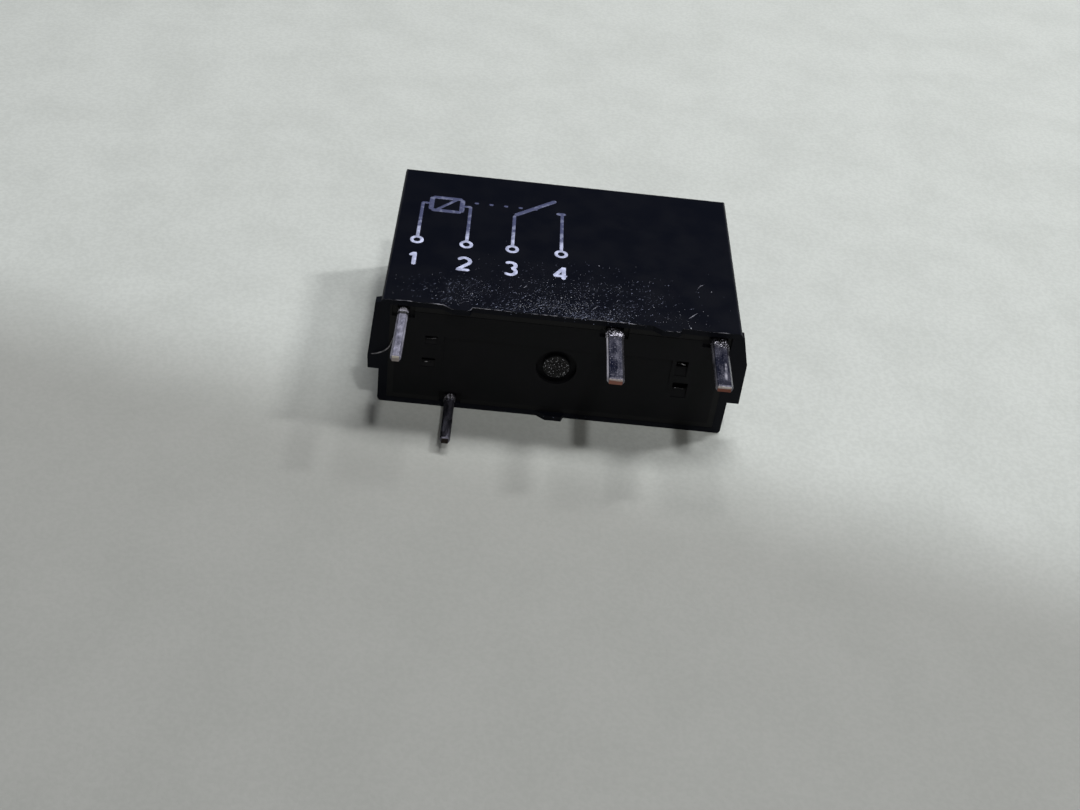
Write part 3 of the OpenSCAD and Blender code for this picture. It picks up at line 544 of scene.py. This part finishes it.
# what hot tin and old solder leave on the pins
coatLook = dict(
    step=0.03, columns=88,
    rootMm=0.1, tipMm=0.012,  # how far inside the base the coat starts, and how far above the tip it ends
    skin=0.03, least=0.008,  # how deep the coat's inside runs in the pin, and the coat's least thickness
    waves=((0.25, 0.9), (0.08, 0.2), (0.3, 1.2)),  # lengths of the waves in tin, solder and its lower end
    wander=0.02, fade=0.018, lumpy=(0.75, 0.5),  # the solder's lower end; its mean thickness and waves
    rounded=(0.05, 0.02),  # how deep and how high the cut is rounded over
    overClip=0.002,  # the coat's least thickness on the clipped corners
)


def terminalCoat(name, terminal, seed, material):
    # the pin's section walked round at each height: the distance outwards is the coat, plus ripples,
    # plus rough solder from the root down to a wandering, slanting lower end
    look = coatLook
    tip, root = terminal["tip"], rimY + look["rootMm"]
    rows = int((root - tip) / look["step"])
    y = np.linspace(root, tip + look["tipMm"], rows)
    half = terminal["width"] / 2
    section, normal, walked = sectionWalk(half, stripThick / 2, stripLook["bevelMm"], look["columns"], 2)
    fine, rough, drift = (ripples(seed + k, lengths) for k, lengths in enumerate(look["waves"]))
    around, along = np.meshgrid(walked, y)
    lower = terminal["lumpEnd"] + look["wander"] * drift(around, 0 * around)
    lower = lower + terminal["slant"] * (section[:, 0] / half)[None]
    solder = 1 / (1 + np.exp((lower - along) / look["fade"]))
    mean, waves = look["lumpy"]
    out = terminal["coat"] + terminal["ripple"] * fine(around, along)
    out = out + solder * terminal["lump"] * (mean + waves * rough(around, along))
    deep, high = look["rounded"]
    out = out - deep * np.exp(-(along - y[-1]) / high)
    out = np.maximum(out, -look["skin"] + look["least"])
    outer = section[None] + out[..., None] * normal[None]
    inner = np.broadcast_to(section - look["skin"] * normal, (rows,) + section.shape)
    # both walls narrow along the clipped corners of the tip
    clip = half - stripLook["clipMm"] + (y - tip)[:, None]
    reach = clip + np.maximum(out, look["overClip"])
    outer[..., 0] = np.clip(outer[..., 0], -reach, reach)
    inner = np.stack([np.clip(inner[..., 0], look["skin"] - clip, clip - look["skin"]), inner[..., 1]], -1)
    buildPiece(name, *sleeve(outer, inner, y, terminal["x"], terminal["z"]), material, "tinned_strip")


for number, (node, terminal) in enumerate(terminals.items()):
    terminalCoat(node + "_coat", terminal, 20 + 3 * number, looks[node])
print("terminal coats made")


# the outer layer of the coil, turn by turn; sunk is how deep its inner wall lies
windingLook = dict(wireMm=0.07, pitchMm=0.08, columns=104, rowsPerTurn=6, sunk=0.4, roundness=0.9)


def windingTurns():
    # an oblong walked round at each height; the distance outwards follows the round of the wire, and
    # the turns climb by one pitch on the way round, so that they form one helix
    look = windingLook
    low, high = boxMm("winding")
    middle = (low[0] + high[0]) / 2
    halfWidth, _, halfThick = (high - low) / 2
    rows = int((high[1] - low[1]) / look["pitchMm"] * look["rowsPerTurn"])
    y = np.linspace(low[1], high[1], rows)
    section, normal, walked = sectionWalk(halfWidth, halfThick, halfThick - 1e-4, look["columns"])
    share = walked / (walked[-1] + walked[1])
    turn = (y[:, None] - y[0]) / look["pitchMm"] - share[None]
    across = 2 * (turn - np.floor(turn)) - 1
    outward = look["wireMm"] / 2 * (np.sqrt(1 - look["roundness"] * across ** 2) - 1)
    outer = section[None] + outward[..., None] * normal[None]
    inner = np.broadcast_to(section - look["sunk"] * normal, outer.shape)
    piece = buildPiece("winding_turns", *sleeve(outer, inner, y, middle), looks["winding"], "enamelled_wire")
    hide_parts("winding")


windingTurns()
print("winding made")


# the melted and rough face of the sealed vent, in the middle of the base
pipLook = dict(
    radius=0.66, rings=34, columns=96,
    seat=0.1, rise=0.012, least=0.004, sunk=0.02,  # the well's floor, the face's rim over it, and its back
    dome=0.06, bump=0.022, bumpMm=(0.07, 0.2), waves=60,
    # peak is the colour of the painted highlights on the broken peaks
    black="#08080a", peak="#d6d6de", cellMm=0.06, peakSize=0.28, peakShare=0.4, roughness=0.5, specular=0.3,
)


def meltedPolyester():
    # polyester melted shut and torn: rough black, whose broken peaks carry painted highlights
    look = pipLook
    material, put, place = newMaterial("meltedPolyester")
    cells = put("TexVoronoi", place, 1 / look["cellMm"])
    chance = put("SeparateColor", cells.outputs["Color"])
    peak = put("times", put("below", cells, look["peakSize"]),
               put("below", chance, look["peakShare"]))
    colour = put("blend", peak, look["black"], look["peak"])
    return finished(material, colour, look["roughness"], specular=look["specular"])


def ventPip():
    # rings round the middle: the height is a low dome that falls off at the edge, plus rough ripples
    look = pipLook
    rings, columns = look["rings"], look["columns"]
    share = np.linspace(0.02, 1, rings)[:, None]
    angle = np.linspace(0, 2 * np.pi, columns, endpoint=False)[None]
    x, z = look["radius"] * share * np.cos(angle), look["radius"] * share * np.sin(angle)
    rough = look["bump"] * ripples(51, look["bumpMm"], look["waves"])(x, z)
    height = look["dome"] * np.sqrt(np.maximum(0, 1 - share ** 4)) + rough * (1 - share ** 6)
    seat = rimY + look["seat"]
    points = np.stack([x, seat - look["rise"] - np.maximum(height, look["least"]), z], -1).reshape(-1, 3)
    points = np.vstack([points, (0, points[:columns, 1].mean(), 0), (0, seat + look["sunk"], 0)])
    quads, triangles = gridFaces(rings, columns), endCaps(rings, columns)
    buildPiece("vent_pip_face", points, quads, triangles, meltedPolyester(), "black_base")


ventPip()
print("vent pip made")


# the thin torn edge of the cover along the marked face, which dips round the two feet
flashLook = dict(
    footAt=5.05, footWide=1.4, footSlope=0.45, footEdge=0.12, footY=0.012, reach=8.55, step=0.035, sunk=0.006,
    radius=0.009, swell=(0.5, 0.9), limits=(0.1, 2.8), swellMm=(0.25, 2.5), waves=14,
    drift=0.01, driftMm=(0.3, 1.6),
)


def rimFlash():
    # a tube along the rim's edge and round the feet, whose radius swells and shrinks with ripples
    look = flashLook
    x = np.arange(-look["reach"], look["reach"], look["step"])
    half = look["footWide"] / 2
    profile = [-half, -half + look["footSlope"], half - look["footEdge"], half]
    y = np.full_like(x, rimY)
    for side in (-1, 1):
        dip = [rimY, look["footY"], look["footY"], rimY]
        y = np.minimum(y, np.interp(x - side * look["footAt"], profile, dip))
    mean, share = look["swell"]
    swell = ripples(72, look["swellMm"], look["waves"])(x, 0 * x)
    radius = look["radius"] * np.clip(mean + share * swell, *look["limits"])
    drift = look["drift"] * ripples(71, look["driftMm"])(x, 0 * x)
    path = np.stack([x, y + drift - look["sunk"], np.full_like(x, labelZ - look["sunk"])], -1)
    # the flash is painted pale in soft patches as a painted highlight where it catches the light, darker
    # between
    material = plainMaterial("paintedGlintFlash", ("#a2a2ad", "#2b2b32"), (0.35, 0.55), patchMm=0.4, grainMm=0.08)
    buildPiece("rim_flash", *tube(path, radius), material, "black_cover")


rimFlash()


# burrs: slivers along the ledge of each blind pocket, painted bright as the pockets' glints; x and z in
# millimetres
burrLook = dict(
    radius=0.013, depth=0.13, swell=(0.5, 0.8), limits=(0.15, 2), swellMm=(0.1, 0.5),
    drift=0.008, driftMm=(0.1, 0.4),
    ledges=(((-6.4, 0.97), (-6.26, 0.93), (-6.08, 0.96), (-5.96, 1.0)),
            ((-6.52, -0.5), (-6.38, -0.48), (-6.2, -0.47)),
            ((5.84, 0.93), (6.0, 0.95), (6.16, 0.93), (6.3, 0.9)),
            ((5.95, -0.6), (6.12, -0.58), (6.28, -0.6), (6.44, -0.6))),
)


def burr(ledge, seed):
    # a tube along the ledge whose radius swells and shrinks with ripples and ends in points
    look = burrLook
    t = np.linspace(0, len(ledge) - 1, 24)
    x, z = (np.interp(t, range(len(ledge)), column) for column in zip(*ledge))
    mean, share = look["swell"]
    swell = np.clip(mean + share * ripples(seed, look["swellMm"])(x, z), *look["limits"])
    swell = swell * np.sin(np.pi * (0.03 + 0.94 * t / t[-1]))
    drift = look["drift"] * ripples(seed + 1, look["driftMm"])(x, z)
    path = np.stack([x, np.full_like(x, rimY + look["depth"]), z + drift], -1)
    return tube(path, look["radius"] * swell)


# torn polyester, painted pale as a highlight, darker in soft patches
material = plainMaterial("paintedGlintBurrs", ("#d0d0d4", "#5a5a60"), (0.3, 0.45), patchMm=0.2, grainMm=0.06)
burrs = joined([burr(ledge, 100 + 2 * k) for k, ledge in enumerate(burrLook["ledges"])])
buildPiece("pocket_burrs", *burrs, material, "black_base")


# the pale strand of flux between the lug and the first coil pin; it is thickest past its middle
strandLook = dict(
    radius=0.034, thickAt=0.7,
    points=((-9.07, 0.3, -0.23), (-8.69, 0.22, -0.06), (-8.31, 0.2, 0.24), (-8.13, 0.18, 0.63),
            (-8.0, 0.24, 0.97)),
)


def strand():
    # a tube along a smooth curve, whose radius follows half a sine wave
    look = strandLook
    path, share = throughKnots(look["points"], 48)
    radius = look["radius"] * (0.5 + 0.5 * np.sin(np.pi * share ** look["thickAt"]))
    # dried flux: a dull grey glaze
    material = plainMaterial("driedFlux", ("#8d8b90", "#5c5b60"), (0.3, 0.45), patchMm=0.2)
    buildPiece("flux_strand", *tube(path, radius), material, "resin")


strand()
print("rim flash, burrs and strand made")


# the print: a plain diagram of the coil and the contact with numbered terminals, in millimetres
printLook = dict(
    left=-8.0, low=3.35, width=8.3, height=8.0, line=0.2, bold=0.3, thick=0.012, sunk=0.004, stepMm=0.06,
    terminals=(0.06, 0.36, 0.64, 0.94),  # shares of the width
    ringRow=0.28, coilRow=0.72, tipRow=0.9,  # shares of the height
    ring=0.26, numeral=1.05, coilIn=0.45, coilHalf=0.62, dash=0.24,
    ink="#d5dbfa", dimInk="#474c6d",
    dimmedMm=(2, 4.8), dimmed=0.85, broken=0.45,  # where upwards the ink turns darker, how much, and what patches add
    bodyMm=0.35, toothMm=0.07, roughness=0.55, specular=0.3,
)


def inkStroke(path, width, closed=False):
    # a low ridge: a flat-bottomed arch carried along the path, its width rounded off at both ends
    look = printLook
    path = np.asarray(path, float)
    length = walkedLength(path)
    steps = max(int(length[-1] / look["stepMm"]), 8)
    walk = np.linspace(0, length[-1], steps + 1)[: steps if closed else steps + 1]
    place = np.stack([np.interp(walk, length, path[:, k]) for k in range(2)], -1)
    ahead = np.roll(place, -1, 0) - np.roll(place, 1, 0) if closed else np.gradient(place, axis=0)
    side = np.stack([-ahead[:, 1], ahead[:, 0]], -1) / np.linalg.norm(ahead, axis=1, keepdims=True)
    near = np.ones(len(walk)) if closed else np.minimum(walk, length[-1] - walk) / (width / 2)
    half = width / 2 * np.sqrt(np.clip(1 - (1 - np.minimum(near, 1)) ** 2, 0.04, 1))
    arch = np.linspace(0, np.pi, 5)
    flat = place[:, None] + half[:, None, None] * np.cos(arch)[None, :, None] * side[:, None]
    rise = np.broadcast_to(np.sin(arch) ** 0.5 * (look["thick"] + look["sunk"]), flat.shape[:2])
    points = np.concatenate([flat, (labelZ - look["sunk"] + rise)[..., None]], -1)
    rows, columns = points.shape[:2]
    quads = gridFaces(rows, columns, closedRows=closed)
    if closed:
        return points.reshape(-1, 3), quads, noTriangles
    poles = np.vstack([points[0].mean(0), points[-1].mean(0)])
    return np.vstack([points.reshape(-1, 3), poles]), quads, endCaps(rows, columns)


def arcPath(centre, radius, start, end, count=16):  # points on an arc, angles in degrees
    angle = np.radians(np.linspace(start, end, count))
    return np.stack([centre[0] + radius * np.cos(angle), centre[1] + radius * np.sin(angle)], -1)


def numeral(digit, at, height):  # a plain numeral as one or two strokes, in a box 0.6 wide and 1 high
    strokes = {
        1: [[(0.08, 0.76), (0.32, 1), (0.32, 0)]],
        2: [np.vstack([arcPath((0.3, 0.71), 0.28, 165, -35), [(0.02, 0), (0.6, 0)]])],
        3: [np.vstack([arcPath((0.28, 0.75), 0.25, 150, -80), arcPath((0.28, 0.26), 0.27, 80, -150)])],
        4: [[(0.45, 0), (0.45, 1), (0.02, 0.3), (0.62, 0.3)]],
    }[digit]
    return [np.asarray(stroke, float) * height + np.asarray(at, float) for stroke in strokes]


def padPrintInk():
    # pad printing ink: thin, matt and pale lavender, darker towards the top and broken in places
    look = printLook
    material, put, place = newMaterial("padPrintInk")
    body = put("TexNoise", place, 1 / look["bodyMm"], 3)
    tooth = put("TexNoise", place, 1 / look["toothMm"], 2)
    y = put("SeparateXYZ", place).outputs["Y"]
    upwards = put("ramp", y, *(look["low"] + up for up in look["dimmedMm"]), 0, look["dimmed"])
    dimmed = put("plus", upwards, put("ramp", body, *sharp, 0, look["broken"]))
    colour = put("blend", dimmed, look["ink"], look["dimInk"])
    return finished(material, colour, look["roughness"], tooth, relief=0.3, specular=look["specular"])


def diagram():
    look = printLook
    bold = look["bold"]
    columns = look["left"] + look["width"] * np.array(look["terminals"])
    ringY, boxY, topY = (look["low"] + look[row] * look["height"] for row in ("ringRow", "coilRow", "tipRow"))
    stemY = ringY + look["ring"]
    parts = []

    def line(points, width=look["line"]):
        parts.append(inkStroke(np.array(points, float), width))

    for index, x in enumerate(columns):
        parts.append(inkStroke(arcPath((x, ringY), look["ring"], 0, 360, 40), look["line"], closed=True))
        for stroke in numeral(index + 1, (x - 0.32, look["low"]), look["numeral"]):
            line(stroke, bold * 0.8)
    # coil: a box with a slanted stroke between terminals 1 and 2
    coilLeft, coilRight = columns[0] + look["coilIn"], columns[1] - look["coilIn"]
    coilLow, coilHigh = boxY - look["coilHalf"], boxY + look["coilHalf"]
    for y in (coilLow, coilHigh):
        line([(coilLeft, y), (coilRight, y)], bold)
    for x in (coilLeft, coilRight):
        line([(x, coilLow), (x, coilHigh)], bold)
    line([(coilLeft + 0.25, coilLow), (coilRight - 0.25, coilHigh)])
    for x, end in zip(columns, (coilLeft, coilRight)):
        line([(x, stemY), (x, boxY), (end, boxY)])
    # contact: an open blade over its fixed side between terminals 3 and 4
    line([(columns[2], stemY), (columns[2], boxY - 0.35)])
    line([(columns[2], boxY - 0.35), (columns[3] - 0.35, topY)], bold)
    line([(columns[3], stemY), (columns[3], boxY + 0.2)])
    line([(columns[3] - 0.32, boxY + 0.2), (columns[3] + 0.2, boxY + 0.2)], bold)
    # the armature's link, drawn as dashes from the coil to the blade
    for x in np.linspace(coilRight + 0.62, (columns[2] + columns[3]) / 2 - 0.3, 5):
        line([(x, boxY + 0.42), (x + look["dash"], boxY + 0.42)])
    buildPiece("terminal_diagram", *joined(parts), padPrintInk())


diagram()
print("diagram printed")


# pale grains of dust on the marked face, thickest near the pins
dustLook = dict(
    count=480, sizes=(0.008, 0.024), ragged=(0.6, 1.4), up=0.7, down=0.25,
    across=(-0.4, 3.0), widest=8.2, fromRim=0.12, fade=(1.3, 0.8), farthest=9,  # where the grains lie
    cloudMm=(1.5, 6), scatter=0.6, cloudEdge=0.1,
    # place and size of single grains
    larger=((1.73, 4.89, 0.055), (-0.85, 2.97, 0.035), (-0.45, 3.46, 0.03), (-0.14, 1.83, 0.035),
            (0.36, 1.94, 0.035), (3.51, 0.98, 0.045), (2.78, 2.89, 0.03), (7.35, 3.61, 0.045),
            (6.15, 0.39, 0.045), (4.4, 1.83, 0.035)),
)


def dust():
    # each grain is a double pyramid with ragged corners, placed by a density that falls off from the rim
    look = dustLook
    tries = look["count"] * 4
    x = np.clip(random.normal(*look["across"], tries), -look["widest"], look["widest"])
    y = rimY + look["fromRim"] + random.gamma(*look["fade"], tries)
    cloud = ripples(91, look["cloudMm"])(x, y) + random.normal(0, look["scatter"], tries)
    keep = np.flatnonzero((cloud > look["cloudEdge"]) & (y < look["farthest"]))[: look["count"]]
    single = np.array(look["larger"])
    x, y = np.append(x[keep], single[:, 0]), np.append(y[keep], single[:, 1])
    size = np.append(random.uniform(*look["sizes"], len(keep)), single[:, 2])[:, None, None]
    size = size * random.uniform(*look["ragged"], (len(x), 6, 1))
    ends = np.array([[1, 0, 0], [0, 1, 0], [-1, 0, 0], [0, -1, 0], [0, 0, look["up"]], [0, 0, -look["down"]]])
    turn = random.uniform(0, 2 * np.pi, len(x))
    cos, sin = np.cos(turn)[:, None], np.sin(turn)[:, None]
    shape = np.stack([ends[:, 0] * cos - ends[:, 1] * sin, ends[:, 0] * sin + ends[:, 1] * cos,
                      np.broadcast_to(ends[:, 2], (len(x), 6))], -1) * size
    centre = np.stack([x, y, np.full_like(x, labelZ)], -1)
    points = (shape + centre[:, None]).reshape(-1, 3)
    faces = np.array([[k, (k + 1) % 4, 4] for k in range(4)] + [[(k + 1) % 4, k, 5] for k in range(4)])
    triangles = (faces[None] + 6 * np.arange(len(x))[:, None, None]).reshape(-1, 3)
    # house dust: pale, matt, fibrous
    material = plainMaterial("houseDust", ("#dcdfea", "#868998"), (0.6, 0.8), patchMm=0.3)
    buildPiece("dust_grains", points, np.zeros((0, 4), int), triangles, material)


dust()


# scores in the marked face, whose raised lips catch the light: their places in millimetres, the height
# of the lip, and how far along it is highest
scores = (
    dict(points=((6.01, 1.18), (6.2, 1.31), (6.39, 1.5), (6.49, 1.65), (6.68, 1.74), (6.9, 1.86)),
         lip=0.02, peak=0.35),
    dict(points=((6.54, 3.47), (6.63, 3.66), (6.79, 3.98), (6.91, 4.1), (7.12, 4.34)), lip=0.013, peak=0.6),
    dict(points=((4.19, 3.69), (4.26, 3.91), (4.34, 4.08)), lip=0.009, peak=0.5),
    dict(points=((1.25, 0.94), (1.48, 1.21), (1.64, 1.44), (1.98, 1.87)), lip=0.014, peak=0.4),
    dict(points=((-2.09, 2.21), (-1.94, 2.4), (-1.81, 2.58)), lip=0.012, peak=0.6),
    dict(points=((1, 1.43), (1.21, 1.62)), lip=0.011, peak=0.5),
    dict(points=((2.53, 1.85), (2.69, 2.19)), lip=0.013, peak=0.5),
)


def scoreLip(points, lip, peak):
    # a thin tube half sunk in the face along a smooth curve, whose radius follows a bell round its peak
    path, share = throughKnots(points, 8 * len(points))
    path = np.column_stack([path, np.full(len(path), labelZ - 0.4 * lip)])
    return tube(path, lip * (0.15 + 0.85 * np.exp(-((share - peak) / 0.28) ** 2)))


# polyester pushed up by a hard point, painted pale as a highlight where its lips catch the light
material = plainMaterial("paintedGlintScores", ("#a4a6b4", "#6a6c77"), (0.3, 0.4), patchMm=0.3)
buildPiece("scores", *joined([scoreLip(**score) for score in scores]), material, "black_cover")
print("dust and scores laid")


# a pale floor, the lamps, the room and the camera
stageLook = dict(
    # near is the painted shade of the floor's near side
    paper="#d3d7d3", near="#a8a9a5", mottle="#858983", fibre="#8c908a", half=420,
    turnsAt=(-7, 3.5), lean=0.22,  # where the floor turns to a painted shade, greyer towards the viewer, and how that line leans
    mottleMm=4, mottled=(0.35, 0.7, 0, 0.09), fibreMm=0.22, fibred=0.12, roughness=0.9, specular=0.1,
)


def paperFloor():
    # matt paper: pale with a green cast, faint mottling, a fine tooth, and a painted shade that turns it
    # greyer towards the viewer
    look = stageLook
    half, z = look["half"] * mm, floorZ * mm
    mesh = bpy.data.meshes.new("paper")
    corners = [(-half, -half, z), (half, -half, z), (half, half, z), (-half, half, z)]
    mesh.from_pydata(corners, [], [(0, 1, 2, 3)])
    floor = putAt("paper", mesh)
    material, put, place = newMaterial("paperStock")
    mottle = put("TexNoise", place, 1 / look["mottleMm"], 5)
    fibre = put("TexNoise", place, 1 / look["fibreMm"], 4)
    x, y, z = put("SeparateXYZ", place).outputs
    away = put("plus", y, put("times", x, look["lean"]))
    # painted shade: the near side of the floor is coloured greyer
    colour = put("blend", put("ramp", away, *look["turnsAt"]), look["near"], look["paper"])
    colour = put("blend", put("ramp", mottle, *look["mottled"]), colour, look["mottle"])
    colour = put("blend", put("ramp", fibre, *sharp, 0, look["fibred"]), colour, look["fibre"])
    mesh.materials.append(finished(material, colour, look["roughness"], fibre, relief=0.25, depthMm=0.06,
                                   specular=look["specular"]))


lamps = {  # direction to the lamp, its distance and size in millimetres, and its share of the light
    "tube": dict(towards=(0.56, 0.27, 0.79), away=300, size=(45, 22), share=0.24),
    "back": dict(towards=(0.12, 0.4, 0.91), away=300, size=(150, 50), share=0.42),
    "spot": dict(towards=(0.17, -0.3, 0.94), away=280, size=(20, 20), share=0.19),
    "front": dict(towards=(0, -0.8, 0.6), away=300, size=(150, 150), share=0.07),
}


def square(right, back):
    # the turn of a lamp or camera that looks against its back, with right made square to it and one long
    right = right / np.linalg.norm(right)
    return np.stack([right, np.cross(back, right), back], -1)


def addLamp(name, towards, away, size, share):
    # a lamp whose power is pi squared times its distance squared, over the cosine of its slant, lights the
    # floor fully; this one has its share of that
    direction = np.array(towards) / np.linalg.norm(towards)
    light = bpy.data.lights.new(name, "AREA")
    light.shape = "RECTANGLE"
    light.size, light.size_y = size[0] * mm, size[1] * mm
    light.energy = share * math.pi ** 2 * (away * mm) ** 2 / direction[2]
    putAt(name, light, square(np.cross([0, 1, 0], direction), direction), direction * away)


cameraLook = dict(  # fitted to the pins and the case's corners in the 1080 x 810 photograph
    aim=(-0.72, -2.63, 0), away=66.9, azimuth=-3.53, elevation=39.8, roll=7.88,
    focalPixels=1408.9, widePixels=1080, sensorMm=36, clip=(0.001, 5),  # clip is in metres
)


def addCamera():
    # the camera stands away from its aim along azimuth and elevation, and rolls about that line
    look = cameraLook
    azimuth, elevation, roll = (math.radians(look[key]) for key in ("azimuth", "elevation", "roll"))
    level = math.cos(elevation)
    back = np.array([math.sin(azimuth) * level, -math.cos(azimuth) * level, math.sin(elevation)])
    upright = square(np.cross(-back, [0, 0, 1]), back)
    cos, sin = math.cos(roll), math.sin(roll)
    turn = upright @ np.array([[cos, -sin, 0], [sin, cos, 0], [0, 0, 1]])
    data = bpy.data.cameras.new("camera")
    data.sensor_width = look["sensorMm"]
    data.lens = data.sensor_width * look["focalPixels"] / look["widePixels"]
    data.clip_start, data.clip_end = look["clip"]
    bpy.context.scene.camera = putAt("camera", data, turn, np.array(look["aim"]) + back * look["away"])


roomLook = dict(  # linear colours: over the object's far side, over its near side, and near the horizon
    far=(0.034, 0.042, 0.078, 1), near=(0.07, 0.066, 0.055, 1), horizon=(0.42, 0.42, 0.41, 1),
    nearToFar=(-0.1, 0.35), horizonUp=(0.03, 0.26),
)


def addWorld():
    # a room that is pale near the horizon and dim above
    look = roomLook
    world = bpy.data.worlds.new("room")
    world.use_nodes = True
    tree = world.node_tree
    put = partial(add, tree)
    x, y, z = put("SeparateXYZ", put("TexCoord").outputs["Generated"]).outputs
    above = put("blend", put("ramp", y, *look["nearToFar"]), look["near"], look["far"])
    colour = put("blend", put("ramp", z, *look["horizonUp"]), look["horizon"], above)
    tree.links.new(colour.outputs[2], tree.nodes["Background"].inputs["Color"])
    bpy.context.scene.world = world


paperFloor()
for name, lamp in lamps.items():
    addLamp(name, **lamp)
addWorld()
addCamera()
bpy.context.scene.view_settings.view_transform = "Standard"
print("stage set")
